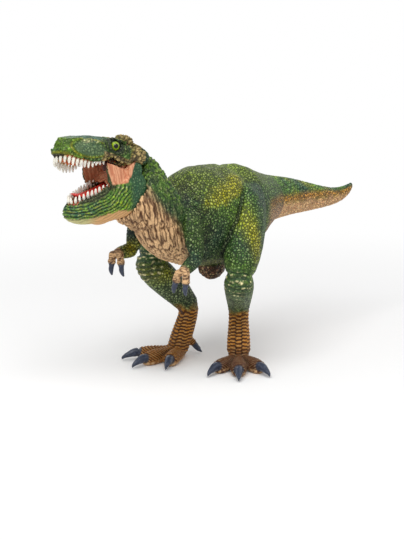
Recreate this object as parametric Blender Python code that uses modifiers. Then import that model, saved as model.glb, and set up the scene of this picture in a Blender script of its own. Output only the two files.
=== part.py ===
"""A toy dinosaur figure: a two-legged hunter standing on its hind feet and roaring, moulded in soft plastic.

The figure is glued up from mouldings that plug into one another, and its lower jaw turns on a cross pin.
Front is -Y, the figure's left is +X and up is +Z. The origin is on the floor under the middle of the figure.
"""

from math import cos, pi, radians, sin

import bmesh
import bpy
from mathutils import Matrix, Vector

MM = 0.001

# Fits between the mouldings
GLUE_GAP = 0.35 * MM
RUNNING_GAP = 0.5 * MM
CUT_OVERRUN = 8.0 * MM
CRUMB_SIZE = 1.0 * MM

# Trunk, from the breast to the seam of the tail
TRUNK_LENGTH = 120.0 * MM
TRUNK_WIDTH = 54.0 * MM
TRUNK_DEPTH = 60.0 * MM
BREAST_AHEAD = 64.0 * MM
BELLY_HEIGHT = 57.0 * MM
KEEL_LENGTH = 20.0 * MM
KEEL_WIDTH = 15.0 * MM
KEEL_DEPTH = 18.0 * MM

# Tail, behind its seam
TAIL_LENGTH = 101.0 * MM
TAIL_PEG_LENGTH = 12.0 * MM
TAIL_PEG_WIDTH = 10.0 * MM
TAIL_PEG_DEPTH = 14.0 * MM

# Neck, from the back of the skull down into the breast
NECK_FOOT_AHEAD = 30.0 * MM
NECK_FOOT_HEIGHT = 83.0 * MM
NECK_REACH = 42.0 * MM
NECK_RISE = 32.0 * MM
NECK_WIDTH = 38.0 * MM
NECK_DEPTH = 44.0 * MM

# Head, in its own frame: the hinge of the jaw is its zero, and the snout points along -Y
HINGE_AHEAD = 69.5 * MM
HINGE_ASIDE = 7.5 * MM
HINGE_HEIGHT = 120.0 * MM
HEAD_YAW = radians(12.0)
HEAD_PITCH = radians(16.0)
SNOUT_LENGTH = 43.5 * MM
SKULL_BEHIND = 12.5 * MM
HEAD_LENGTH = SNOUT_LENGTH + SKULL_BEHIND
HEAD_WIDTH = 30.0 * MM
HEAD_HEIGHT = 18.0 * MM
EYE_RADIUS = 2.6 * MM
EYE_ASIDE_SHARE = 0.3467
EYE_AHEAD_SHARE = 0.3425
EYE_HEIGHT_SHARE = 0.561
BROW_LENGTH = 14.0 * MM
BROW_WIDTH = 6.5 * MM
BROW_HEIGHT = 8.0 * MM
BROW_ASIDE_SHARE = 0.26
BROW_AHEAD_SHARE = 0.17
BROW_RISE_SHARE = 0.74

# Upper mouth lining with its teeth, and the throat block that holds the pin
PALATE_ARCH = 3.4 * MM
GUM_WIDTH = 2.9 * MM
THROAT_RADIUS = 6.0 * MM
THROAT_WIDTH = 11.0 * MM
TOOTH_LENGTH = 3.4 * MM
TOOTH_RADIUS = 1.1 * MM
TEETH_PER_SIDE = 10
TOOTH_INSET_SHARE = 1.6
FIRST_TOOTH_SHARE = 1.05
TOOTH_CROWDING = 1.15
SHORT_TOOTH_SHARE = 0.75
LONG_TOOTH_SHARE = 0.35

# Lower jaw, in its own frame when it is shut
CHIN_AHEAD = 38.0 * MM
JAW_BEHIND = 8.0 * MM
JAW_LENGTH = CHIN_AHEAD + JAW_BEHIND
JAW_INSET = 1.0 * MM
JAW_WIDTH = HEAD_WIDTH - 2 * JAW_INSET
JAW_DEPTH = 21.0 * MM
JAW_GAPE = radians(28.0)
EAR_RADIUS = 4.6 * MM
EAR_INSET = 1.8 * MM
EAR_OUTSIDE = HEAD_WIDTH / 2 - EAR_INSET
CHEEK_INSET = 5.4 * MM
CHEEK_INSIDE = HEAD_WIDTH / 2 - CHEEK_INSET
CHEEK_THICKNESS = 1.4 * MM
CHEEK_RADIUS_SHARE = 0.3908
CHEEK_RADIUS = SNOUT_LENGTH * CHEEK_RADIUS_SHARE
CHEEK_LOWEST = radians(-36.0)
CHEEK_HIGHEST = radians(28.0)
CHEEK_SIDES = 8
THROAT_FLOOR_SHARE = 0.25
LOWER_TOOTH_LENGTH = 3.0 * MM
TONGUE_WIDTH = 8.0 * MM
TONGUE_THICKNESS = 2.6 * MM
TONGUE_LENGTH_SHARE = 0.684
TONGUE_AHEAD_SHARE = 0.895
TONGUE_HEIGHT_SHARE = -0.362

# Hinge pin
PIN_RADIUS = 1.5 * MM
PIN_INSET = 1.2 * MM
PIN_LENGTH = 2 * (EAR_OUTSIDE - PIN_INSET)

# Hind legs: each bends in a plane of its own, which turns out from the front, and its bones share out the way
# from the hip down to the instep in proportion to their lengths
HIP_HEIGHT = 92.0 * MM
HIP_BEHIND = 16.0 * MM
HIP_INSET = 11.0 * MM
HIP_ASIDE = TRUNK_WIDTH / 2 - HIP_INSET
THIGH_LENGTH = 50.0 * MM
SHANK_LENGTH = 43.0 * MM
METATARSUS_LENGTH = 24.0 * MM
LEFT_INSTEP_HEIGHT = 10.4418 * MM
RIGHT_INSTEP_HEIGHT = 6.9024 * MM
THIGH_WIDTH = 25.0 * MM
THIGH_DEPTH = 38.0 * MM
SHANK_WIDTH = 17.0 * MM
FOOT_WIDTH = 15.0 * MM
TOE_LENGTH = 30.0 * MM
TOE_WIDTH = 10.0 * MM
TOE_HEIGHT = 9.0 * MM
TOE_TIP_RISE_SHARE = 0.42
TOE_SPREAD = radians(30.0)
SIDE_TOE_SHARE = 0.85
CLAW_LENGTH = 10.0 * MM
CLAW_WIDTH = 5.4 * MM
SPUR_LENGTH = 11.0 * MM
SPUR_WIDTH = 4.6 * MM
SPUR_ROOT_SHARE = 0.6
SPUR_WAY_SHARES = (0.65, 0.35, 1.1)
SOLE_CUT = 0.6 * MM
TOE_SIZE_SHARES = (0.95, 1.0, 0.97)

# Forelimbs
SHOULDER_HEIGHT = 89.0 * MM
SHOULDER_AHEAD = 40.0 * MM
SHOULDER_INSET = 9.0 * MM
SHOULDER_ASIDE = TRUNK_WIDTH / 2 - SHOULDER_INSET
UPPER_ARM_LENGTH = 19.0 * MM
FOREARM_LENGTH = 13.0 * MM
ARM_WIDTH = 9.0 * MM
ARM_DEPTH = 14.0 * MM
FINGER_LENGTH = 8.0 * MM
FINGER_WIDTH = 4.2 * MM
FINGER_APART_SHARE = 0.62
FINGER_ROOT_SHARE = 0.4
FINGER_SPLAY_SHARE = 0.12
FINGER_CLAW_LENGTH = 5.0 * MM
FINGER_CLAW_WIDTH = 3.4 * MM

# Sides of the cages, and how square their sections are: 1 is round
BODY_SIDES = 10
MOUTH_SIDES = 8
LIMB_SIDES = 8
SMALL_SIDES = 6
ROD_SIDES = 20
TOOTH_SIDES = 5
HEAD_FULLNESS = 0.85
MOUTH_FULLNESS = 0.7
JAW_FULLNESS = 0.65
SHARP_ANGLE = radians(40.0)

X, Y, Z = Vector((1, 0, 0)), Vector((0, 1, 0)), Vector((0, 0, 1))

# Finish of each piece: base colour, roughness and metallic value
FINISHES = {
    "torso": ((0.13, 0.20, 0.05), 0.50, 0),
    "tail": ((0.15, 0.21, 0.06), 0.50, 0),
    "neck": ((0.30, 0.22, 0.12), 0.55, 0),
    "head": ((0.10, 0.20, 0.05), 0.50, 0),
    "upper_mouth": ((0.62, 0.22, 0.12), 0.35, 0),
    "lower_jaw": ((0.12, 0.20, 0.06), 0.50, 0),
    "lower_mouth": ((0.60, 0.20, 0.12), 0.35, 0),
    "tongue": ((0.55, 0.06, 0.07), 0.30, 0),
    "left_eye": ((0.45, 0.50, 0.08), 0.10, 0),
    "right_eye": ((0.45, 0.50, 0.08), 0.10, 0),
    "jaw_pin": ((0.55, 0.55, 0.55), 0.35, 1),
    "left_leg": ((0.16, 0.20, 0.06), 0.50, 0),
    "right_leg": ((0.16, 0.20, 0.06), 0.50, 0),
    "left_arm": ((0.16, 0.18, 0.08), 0.50, 0),
    "right_arm": ((0.16, 0.18, 0.08), 0.50, 0),
}

# Sections of the body: along its length, half width, top and bottom, as shares of length, width and depth
TRUNK_SHARES = (
    (0.03, 0.09, 0.60, 0.49),
    (0.07, 0.19, 0.68, 0.38),
    (0.15, 0.28, 0.76, 0.21),
    (0.28, 0.39, 0.87, 0.08),
    (0.46, 0.48, 0.985, 0.01),
    (0.62, 0.49, 0.945, 0.00),
    (0.76, 0.43, 0.915, 0.06),
    (0.88, 0.35, 0.83, 0.20),
    (1.00, 0.26, 0.74, 0.28),
)
TAIL_SHARES = (
    (0.14, 0.205, 0.70, 0.285),
    (0.32, 0.155, 0.635, 0.28),
    (0.52, 0.115, 0.54, 0.27),
    (0.72, 0.085, 0.455, 0.265),
    (0.86, 0.060, 0.43, 0.28),
    (0.96, 0.032, 0.445, 0.345),
    (1.00, 0.012, 0.465, 0.42),
)

# Sections of the neck: aside, ahead and up from its foot, half width, nape side and throat side
NECK_SHARES = (
    (0.14, 0.88, 0.90, 0.34, 0.45, 0.44),
    (0.12, 0.75, 0.79, 0.41, 0.46, 0.46),
    (0.08, 0.56, 0.58, 0.44, 0.35, 0.40),
    (0.03, 0.40, 0.38, 0.45, 0.30, 0.36),
    (0.00, 0.17, 0.16, 0.38, 0.28, 0.30),
    (0.00, 0.00, 0.00, 0.22, 0.18, 0.18),
)

# Sections of the skull: along its length, half width, top and bottom, as shares
HEAD_SHARES = (
    (0.00, 0.14, 0.04, -0.15),
    (0.02, 0.21, 0.20, -0.19),
    (0.09, 0.27, 0.42, -0.18),
    (0.24, 0.32, 0.66, -0.09),
    (0.45, 0.38, 0.76, 0.00),
    (0.60, 0.47, 0.82, -0.03),
    (0.76, 0.50, 0.84, 0.02),
    (0.92, 0.44, 0.74, 0.16),
    (1.00, 0.28, 0.60, 0.30),
)
PALATE_SHARES = (
    (0.035, 0.15, 0.16, -0.18),
    (0.10, 0.215, 0.30, -0.22),
    (0.26, 0.265, 0.36, -0.13),
    (0.45, 0.290, 0.38, -0.06),
    (0.64, 0.290, 0.38, -0.03),
    (0.84, 0.265, 0.36, 0.10),
)
LOWER_MOUTH_SHARES = (
    (0.035, 0.13, -0.28, -0.56),
    (0.10, 0.19, -0.26, -0.66),
    (0.26, 0.255, -0.23, -0.70),
    (0.45, 0.315, -0.18, -0.72),
    (0.62, 0.33, -0.16, -0.72),
    (0.70, 0.32, -0.22, -0.68),
)

# Sections of the lower jaw, shut: along its length from the chin, half width, top and bottom, as shares
JAW_SHARES = (
    (0.00, 0.12, -0.35, -0.58),
    (0.03, 0.19, -0.31, -0.80),
    (0.10, 0.26, -0.29, -0.96),
    (0.26, 0.33, -0.26, -1.04),
    (0.45, 0.40, -0.21, -1.13),
    (0.64, 0.465, -0.11, -1.20),
    (0.80, 0.50, 0.12, -1.12),
    (0.92, 0.49, 0.13, -0.92),
    (1.00, 0.44, -0.05, -0.68),
)
TONGUE_SHARES = (
    (0.00, 0.20, 0.30),
    (0.10, 0.40, 0.10),
    (0.40, 0.50, 0.00),
    (0.75, 0.50, 0.00),
    (1.00, 0.34, 0.00),
)

# Sections down a leg: along each bone and square to it, then half width, rear and front, as shares
THIGH_SHARES = (
    (-0.26, 0.26, 0.28, 0.26),
    (-0.02, 0.44, 0.50, 0.46),
    (0.34, 0.48, 0.47, 0.44),
    (0.70, 0.44, 0.33, 0.34),
    (1.04, 0.28, 0.16, 0.20),
)
SHANK_SHARES = (
    (-0.10, 0.34, 0.24, 0.30),
    (0.10, 0.52, 0.52, 0.62),
    (0.50, 0.47, 0.50, 0.56),
    (0.98, 0.36, 0.42, 0.38),
)
METATARSUS_SHARES = (
    (0.28, 0.36, 0.40, 0.38),
    (0.80, 0.44, 0.40, 0.44),
    (1.35, 0.50, 0.36, 0.44),
)
TOE_SHARES = (
    (0.02, 0.60, 0.46),
    (0.36, 0.48, 0.43),
    (0.78, 0.52, 0.52),
    (1.00, 0.36, 0.38),
)
CLAW_SHARES = (
    (-0.25, 0.46, 0.06),
    (0.35, 0.44, 0.14),
    (1.00, 0.07, -0.40),
)

# Sections of a forelimb: along it, half width, rear and front, as shares
ARM_SHARES = (
    (-0.40, 0.34, 0.30, 0.30),
    (0.20, 0.54, 0.50, 0.50),
    (0.80, 0.46, 0.38, 0.40),
    (1.12, 0.26, 0.20, 0.22),
)
FOREARM_SHARES = (
    (-0.20, 0.34, 0.26, 0.26),
    (0.30, 0.40, 0.32, 0.32),
    (0.90, 0.36, 0.23, 0.23),
    (1.25, 0.28, 0.16, 0.16),
)
FINGER_SHARES = (
    (-0.25, 0.46),
    (0.45, 0.52),
    (1.05, 0.38),
)

# How each leg stands, in degrees: turn out and lean of the thigh, turn out of the lower leg, lean of the shank and
# of the metatarsus, turn out of the toes. Then the height of its instep
LEG_STANCES = {
    "left": ((27, 43, 35, -57, 26, 35), LEFT_INSTEP_HEIGHT),
    "right": ((20, 50, 21, -45, 20, 6), RIGHT_INSTEP_HEIGHT),
}

# How each forelimb is held, in degrees: lean outwards, lean of upper arm and forearm forwards, of the fingers
ARM_STANCES = {
    "left": (18, 8, 66, 4),
    "right": (8, 7, 90, 4),
}


def clear_scene():
    for obj in list(bpy.data.objects):
        bpy.data.objects.remove(obj)


def new_collection(name):
    made = bpy.data.collections.new(name)
    bpy.context.scene.collection.children.link(made)
    return made


def new_material(name, colour, roughness, metallic):
    made = bpy.data.materials.new(name)
    made.use_nodes = True
    shader = made.node_tree.nodes["Principled BSDF"]
    shader.inputs["Base Color"].default_value = (*colour, 1)
    shader.inputs["Roughness"].default_value = roughness
    shader.inputs["Metallic"].default_value = metallic
    made.diffuse_color = (*colour, 1)
    return made


def new_frame(name, place, collection):
    """An empty that carries pieces."""
    frame = bpy.data.objects.new(name, None)
    frame.matrix_world = place
    collection.objects.link(frame)
    return frame


def add_object(name, mesh):
    obj = bpy.data.objects.new(name, mesh)
    bpy.context.scene.collection.objects.link(obj)
    return obj


def applied(obj):
    """The object with its modifiers and its place taken into its mesh."""
    bpy.context.view_layer.update()
    graph = bpy.context.evaluated_depsgraph_get()
    mesh = bpy.data.meshes.new_from_object(obj.evaluated_get(graph))
    mesh.transform(obj.matrix_world)
    obj.modifiers.clear()
    obj.data = mesh
    obj.matrix_world = Matrix.Identity(4)
    return obj


def object_from(name, work, place=Matrix.Identity(4)):
    mesh = bpy.data.meshes.new(name)
    work.to_mesh(mesh)
    work.free()
    obj = add_object(name, mesh)
    obj.matrix_world = place
    return applied(obj)


def signed_power(value, power):
    return abs(value) ** power * (1 if value > 0 else -1)


def section(centre, across, up, half_width, crown, keel, points, fullness):
    """Cage points round one section: crown is its height over the centre, keel its depth under it."""
    shrink = (2 + cos(2 * pi / points)) / 3
    found = []
    for i in range(points):
        turn = 2 * pi * (i + 0.5) / points
        sideways = half_width * signed_power(cos(turn), fullness)
        rise = (crown if sin(turn) > 0 else keel) * signed_power(sin(turn), fullness)
        found.append(centre + (across * sideways + up * rise) / shrink)
    return found


def loft(name, stations, side=X, points=BODY_SIDES, fullness=1):
    """A closed soft form through stations of (centre, half width, crown, keel), smoothed by subdivision."""
    centres = [station[0] for station in stations]
    last = len(centres) - 1
    work = bmesh.new()
    rings = []
    for i, (centre, half_width, crown, keel) in enumerate(stations):
        along = (centres[min(i + 1, last)] - centres[max(i - 1, 0)]).normalized()
        up = side.cross(along).normalized()
        across = along.cross(up)
        points_here = section(centre, across, up, half_width, crown, keel, points, fullness)
        rings.append([work.verts.new(point) for point in points_here])
    for first, second in zip(rings, rings[1:]):
        for i in range(points):
            j = (i + 1) % points
            work.faces.new((first[i], first[j], second[j], second[i]))
    work.faces.new(rings[0][::-1])
    work.faces.new(rings[-1])
    bmesh.ops.recalc_face_normals(work, faces=work.faces)
    obj = object_from(name, work)
    smooth = obj.modifiers.new("Smooth", "SUBSURF")
    smooth.levels = 1
    smooth.render_levels = 1
    return applied(obj)


def straight_stations(shares, start, length, width, depth):
    """Stations along +Y from rows of along, half width, top and bottom shares."""
    found = []
    for along, half_width, top, bottom in shares:
        centre = start + Y * length * along + Z * depth * (top + bottom) / 2
        half_depth = depth * (top - bottom) / 2
        found.append((centre, width * half_width, half_depth, half_depth))
    return found


def ball(name, centre, radii):
    work = bmesh.new()
    bmesh.ops.create_uvsphere(work, u_segments=2 * SMALL_SIDES, v_segments=SMALL_SIDES, radius=1)
    return object_from(name, work, Matrix.Translation(centre) @ Matrix.Diagonal((*radii, 1)))


def cross_rod(name, radius, length, centre=Vector()):
    """A cylinder along X."""
    work = bmesh.new()
    bmesh.ops.create_cone(
        work, cap_ends=True, segments=ROD_SIDES, radius1=radius, radius2=radius, depth=length
    )
    return object_from(name, work, Matrix.Translation(centre) @ Matrix.Rotation(pi / 2, 4, "Y"))


def cone(name, foot, tip, radius):
    work = bmesh.new()
    axis = tip - foot
    bmesh.ops.create_cone(
        work, cap_ends=True, segments=TOOTH_SIDES, radius1=radius, radius2=radius / 4, depth=axis.length
    )
    turn = axis.to_track_quat("Z", "Y").to_matrix().to_4x4()
    return object_from(name, work, Matrix.Translation((foot + tip) / 2) @ turn)


def block(name, low, high):
    work = bmesh.new()
    bmesh.ops.create_cube(work, size=1)
    low, high = Vector(low), Vector(high)
    place = Matrix.Translation((low + high) / 2) @ Matrix.Diagonal((*(high - low), 1))
    return object_from(name, work, place)


def shell_of(face):
    """All the faces that edges join to this one."""
    found = {face}
    waiting = [face]
    while waiting:
        for edge in waiting.pop().edges:
            for other in edge.link_faces:
                if other not in found:
                    found.add(other)
                    waiting.append(other)
    return found


def drop_crumbs(obj):
    """Removes the specks that a cut can leave in a corner, joined to the moulding at most by a point."""
    work = bmesh.new()
    work.from_mesh(obj.data)
    bmesh.ops.triangulate(work, faces=work.faces)
    left = set(work.faces)
    while left:
        shell = shell_of(next(iter(left)))
        left -= shell
        corners = [vertex.co for face in shell for vertex in face.verts]
        if max((corner - corners[0]).length for corner in corners) < CRUMB_SIZE:
            bmesh.ops.delete(work, geom=list(shell), context="FACES")
    work.to_mesh(obj.data)
    work.free()
    return obj


def combine(target, tool, operation):
    boolean = target.modifiers.new(operation.title(), "BOOLEAN")
    boolean.solver = "MANIFOLD"
    boolean.operation = operation
    boolean.object = tool
    applied(target)
    bpy.data.objects.remove(tool)
    return drop_crumbs(target)


def join(target, *pieces):
    for piece in pieces:
        combine(target, piece, "UNION")
    return target


def cut(target, *tools):
    for tool in tools:
        combine(target, tool, "DIFFERENCE")
    return target


def copy_of(obj, suffix="_copy"):
    return add_object(obj.name + suffix, obj.data.copy())


def grown(obj, gap):
    """A copy of a moulding, fatter by the gap all over, to cut its seat with."""
    copy = copy_of(obj, "_seat")
    swell = copy.modifiers.new("Gap", "DISPLACE")
    swell.mid_level = 0
    swell.strength = gap
    return applied(copy)


def seat(target, *mouldings, gap=GLUE_GAP):
    """Cuts the target back where each moulding plugs into it."""
    return cut(target, *[grown(moulding, gap) for moulding in mouldings])


def plate(name, outline, inside, outside):
    """A flat plate square to X, from one distance aside to another, with its outline as (y, z) points."""
    curve = bpy.data.curves.new(name, "CURVE")
    curve.dimensions = "2D"
    curve.fill_mode = "BOTH"
    curve.extrude = abs(outside - inside) / 2
    spline = curve.splines.new("POLY")
    spline.points.add(len(outline) - 1)
    spline.use_cyclic_u = True
    for point, (y, z) in zip(spline.points, outline):
        point.co = (y, z, 0, 1)
    flat = add_object(name, curve)
    upright = Matrix(((0, 0, 1), (1, 0, 0), (0, 1, 0))).to_4x4()
    flat.matrix_world = Matrix.Translation(X * (inside + outside) / 2) @ upright
    bpy.context.view_layer.update()
    graph = bpy.context.evaluated_depsgraph_get()
    mesh = bpy.data.meshes.new_from_object(flat.evaluated_get(graph))
    work = bmesh.new()
    work.from_mesh(mesh)
    bmesh.ops.remove_doubles(work, verts=work.verts, dist=GLUE_GAP / 100)
    place = flat.matrix_world.copy()
    bpy.data.objects.remove(flat)
    return object_from(name, work, place)


def row_at(shares, along):
    """The row of a table of sections at any share along it, between the rows that it holds."""
    for low, high in zip(shares, shares[1:]):
        if along <= high[0]:
            part = (along - low[0]) / (high[0] - low[0])
            return [a + (b - a) * part for a, b in zip(low, high)]
    return list(shares[-1])


def make_body():
    """Trunk and tail are one form, parted at the seam of the tail, where a peg joins them."""
    breast = Vector((0, -BREAST_AHEAD, BELLY_HEIGHT))
    seam = breast + Y * TRUNK_LENGTH
    stations = straight_stations(TRUNK_SHARES, breast, TRUNK_LENGTH, TRUNK_WIDTH, TRUNK_DEPTH)
    stations += straight_stations(TAIL_SHARES, seam, TAIL_LENGTH, TRUNK_WIDTH, TRUNK_DEPTH)
    trunk = loft("torso", stations)
    keel_radii = (KEEL_WIDTH / 2, KEEL_LENGTH / 2, KEEL_DEPTH / 2)
    join(trunk, ball("keel", Vector((0, HIP_BEHIND / 4, BELLY_HEIGHT)), keel_radii))

    reach = TAIL_LENGTH + CUT_OVERRUN
    low = seam - X * TRUNK_WIDTH - Z * TRUNK_DEPTH
    high = seam + X * TRUNK_WIDTH + Y * reach + Z * TRUNK_DEPTH
    tail = copy_of(trunk)
    tail.name = "tail"
    combine(tail, block("behind_seam", low + Y * GLUE_GAP, high), "INTERSECT")
    cut(trunk, block("ahead_of_seam", low, high))

    middle = seam + Z * TRUNK_DEPTH / 2
    peg_half = X * TAIL_PEG_WIDTH / 2 + Z * TAIL_PEG_DEPTH / 2
    join(tail, block("peg", middle - peg_half - Y * TAIL_PEG_LENGTH, middle + peg_half + Y * TAIL_PEG_LENGTH))
    margin = Vector((GLUE_GAP, GLUE_GAP, GLUE_GAP))
    socket_low = middle - peg_half - Y * TAIL_PEG_LENGTH - margin
    cut(trunk, block("socket", socket_low, middle + peg_half + Y * CUT_OVERRUN + margin))
    return trunk, tail


def make_neck():
    foot = Vector((0, -NECK_FOOT_AHEAD, NECK_FOOT_HEIGHT))
    stations = []
    for aside, ahead, rise, half_width, nape, throat in NECK_SHARES:
        centre = foot - X * NECK_WIDTH * aside - Y * NECK_REACH * ahead + Z * NECK_RISE * rise
        stations.append((centre, NECK_WIDTH * half_width, NECK_DEPTH * nape, NECK_DEPTH * throat))
    return loft("neck", stations)


def make_skull():
    tip = Vector((0, -SNOUT_LENGTH, 0))
    stations = straight_stations(HEAD_SHARES, tip, HEAD_LENGTH, HEAD_WIDTH, HEAD_HEIGHT)
    skull = loft("head", stations, fullness=HEAD_FULLNESS)
    for side in (-1, 1):
        aside = side * HEAD_WIDTH * BROW_ASIDE_SHARE
        brow = Vector((aside, -SNOUT_LENGTH * BROW_AHEAD_SHARE, HEAD_HEIGHT * BROW_RISE_SHARE))
        join(skull, ball("brow", brow, (BROW_WIDTH / 2, BROW_LENGTH / 2, BROW_HEIGHT / 2)))
    return skull


def add_teeth(gum, shares, origin, length, width, height, edge, tooth_length):
    """Teeth along both sides of a gum: edge is 3 for its lower rim and 2 for its upper one."""
    down = 1 if edge == 3 else -1
    first, last = shares[0][0], shares[-3][0]
    for i in range(TEETH_PER_SIDE):
        along = first + (last - first) * ((i + FIRST_TOOTH_SHARE) / TEETH_PER_SIDE) ** TOOTH_CROWDING
        row = row_at(shares, along)
        size = SHORT_TOOTH_SHARE + LONG_TOOTH_SHARE * sin(pi * (i + 1) / TEETH_PER_SIDE)
        for side in (-1, 1):
            rim = origin + Y * length * along + Z * height * row[edge]
            rim += X * side * (width * row[1] - TOOTH_RADIUS * TOOTH_INSET_SHARE)
            foot = rim + Z * down * TOOTH_RADIUS
            tip = rim - Z * down * tooth_length * size
            join(gum, cone("tooth", foot, tip, TOOTH_RADIUS))
    return gum


def palate_rows():
    tip = Vector((0, -SNOUT_LENGTH, 0))
    return straight_stations(PALATE_SHARES, tip, HEAD_LENGTH, HEAD_WIDTH, HEAD_HEIGHT)


def make_palate_form():
    return loft("upper_mouth", palate_rows(), points=MOUTH_SIDES, fullness=MOUTH_FULLNESS)


def fit_palate(mouth):
    """The lining is arched from below, and gets the throat block, the teeth and the bore for the pin."""
    rows = palate_rows()
    arch = []
    for centre, half_width, half_depth, _ in rows[1:]:
        hollow = max(half_width - GUM_WIDTH, GUM_WIDTH / 2)
        arch.append((centre - Z * PALATE_ARCH, hollow, half_depth, half_depth))
    cut(mouth, loft("arch", arch, points=MOUTH_SIDES, fullness=MOUTH_FULLNESS))
    join(mouth, cross_rod("throat_block", THROAT_RADIUS, THROAT_WIDTH))
    tip = Vector((0, -SNOUT_LENGTH, 0))
    add_teeth(mouth, PALATE_SHARES, tip, HEAD_LENGTH, HEAD_WIDTH, HEAD_HEIGHT, 3, TOOTH_LENGTH)
    return bore_for_pin(mouth, GLUE_GAP)


def make_jaw_form():
    chin = Vector((0, -CHIN_AHEAD, 0))
    stations = straight_stations(JAW_SHARES, chin, JAW_LENGTH, JAW_WIDTH, JAW_DEPTH)
    return loft("lower_jaw", stations, fullness=JAW_FULLNESS)


def lower_mouth_rows():
    chin = Vector((0, -CHIN_AHEAD, 0))
    return straight_stations(LOWER_MOUTH_SHARES, chin, JAW_LENGTH, JAW_WIDTH, JAW_DEPTH)


def make_lower_mouth_form():
    return loft("lower_mouth", lower_mouth_rows(), points=MOUTH_SIDES, fullness=MOUTH_FULLNESS)


def fit_lower_mouth(mouth, tongue):
    """The lining is hollowed from above, and gets its teeth and the bed of the tongue."""
    rows = lower_mouth_rows()
    trough = []
    for centre, half_width, half_depth, _ in rows[1:-1]:
        lifted = centre + Z * half_depth
        trough.append((lifted, max(half_width - GUM_WIDTH, GUM_WIDTH / 2), half_depth, half_depth))
    cut(mouth, loft("trough", trough, points=MOUTH_SIDES, fullness=MOUTH_FULLNESS))
    seat(mouth, tongue)
    chin = Vector((0, -CHIN_AHEAD, 0))
    return add_teeth(mouth, LOWER_MOUTH_SHARES, chin, JAW_LENGTH, JAW_WIDTH, JAW_DEPTH, 2, LOWER_TOOTH_LENGTH)


def make_cheek(side):
    """The fold of skin behind the mouth: a fan about the hinge, which slides up inside the cheek."""
    outline = [(0, 0)]
    for i in range(CHEEK_SIDES + 1):
        turn = CHEEK_LOWEST + (CHEEK_HIGHEST - CHEEK_LOWEST) * i / CHEEK_SIDES
        outline.append((-CHEEK_RADIUS * cos(turn), CHEEK_RADIUS * sin(turn)))
    inside = side * CHEEK_INSIDE
    return plate("cheek", outline, inside, inside + side * CHEEK_THICKNESS)


def turned_out(mirror, turn):
    """The forward and sideways directions of a limb that turns out from the front by an angle."""
    return Vector((mirror * sin(turn), -cos(turn), 0)), Vector((cos(turn), mirror * sin(turn), 0))


def bone(direction, lean):
    return direction * sin(lean) - Z * cos(lean)


def limb_stations(shares, start, along, length, width, depth):
    """Stations down one bone, from rows of along, half width, rear and front shares."""
    found = []
    for share, half_width, rear, front in shares:
        found.append((start + along * length * share, width * half_width, depth * rear, depth * front))
    return found


def make_claw(name, root, direction, length, width, droop=Z):
    stations = []
    for along, half_width, rise in CLAW_SHARES:
        centre = root + direction * length * along + droop * width * rise
        stations.append((centre, width * half_width, width * half_width, width * half_width))
    return loft(name, stations, side=direction.cross(droop).normalized(), points=SMALL_SIDES)


def make_toe(root, direction, length, size_share):
    stations = []
    for along, half_width, half_height in TOE_SHARES:
        half_depth = TOE_HEIGHT * size_share * half_height
        centre = root + direction * length * along + Z * (half_depth - SOLE_CUT)
        stations.append((centre, TOE_WIDTH * size_share * half_width, half_depth, half_depth))
    toe = loft("toe", stations, side=direction.cross(Z).normalized(), points=SMALL_SIDES)
    tip = root + direction * length + Z * TOE_HEIGHT * TOE_TIP_RISE_SHARE
    return join(toe, make_claw("claw", tip, direction, CLAW_LENGTH, CLAW_WIDTH))


def make_leg(name, mirror, stance):
    angles, instep_height = stance
    thigh_turn, thigh_lean, shank_turn, shank_lean, foot_lean, toe_turn = [radians(angle) for angle in angles]
    thigh_ahead, thigh_side = turned_out(mirror, thigh_turn)
    ahead, side = turned_out(mirror, shank_turn)
    thigh = bone(thigh_ahead, thigh_lean)
    shank = bone(ahead, shank_lean)
    foot = bone(ahead, foot_lean)
    hip = Vector((mirror * HIP_ASIDE, HIP_BEHIND, HIP_HEIGHT))
    drop = -(thigh * THIGH_LENGTH + shank * SHANK_LENGTH + foot * METATARSUS_LENGTH).z
    stretch = (HIP_HEIGHT - instep_height) / drop
    thigh_length = THIGH_LENGTH * stretch
    shank_length = SHANK_LENGTH * stretch
    metatarsus_length = METATARSUS_LENGTH * stretch
    knee = hip + thigh * thigh_length
    hock = knee + shank * shank_length
    instep = hock + foot * metatarsus_length

    upper = limb_stations(THIGH_SHARES, hip, thigh, thigh_length, THIGH_WIDTH, THIGH_DEPTH)
    leg = loft(name, upper, thigh_side, LIMB_SIDES)
    lower = limb_stations(SHANK_SHARES, knee, shank, shank_length, SHANK_WIDTH, SHANK_WIDTH)
    lower += limb_stations(METATARSUS_SHARES, hock, foot, metatarsus_length, FOOT_WIDTH, FOOT_WIDTH)
    join(leg, loft("shank", lower, side, LIMB_SIDES))

    root = Vector((instep.x, instep.y, 0))
    for spread, size_share in zip((-TOE_SPREAD, 0, TOE_SPREAD), TOE_SIZE_SHARES):
        direction, _ = turned_out(mirror, toe_turn + spread)
        length = TOE_LENGTH if spread == 0 else TOE_LENGTH * SIDE_TOE_SHARE
        join(leg, make_toe(root, direction, length, size_share))

    behind_share, inside_share, down_share = SPUR_WAY_SHARES
    way = (-ahead * behind_share - side * mirror * inside_share - Z * down_share).normalized()
    spur_root = hock + foot * metatarsus_length * SPUR_ROOT_SHARE + way * SPUR_LENGTH / 2
    join(leg, make_claw("spur", spur_root, way, SPUR_LENGTH, SPUR_WIDTH, way.cross(side).normalized()))
    return cut(leg, block("floor", root - Vector((1, 1, 1)) * THIGH_LENGTH, root + (X + Y) * THIGH_LENGTH))


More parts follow.
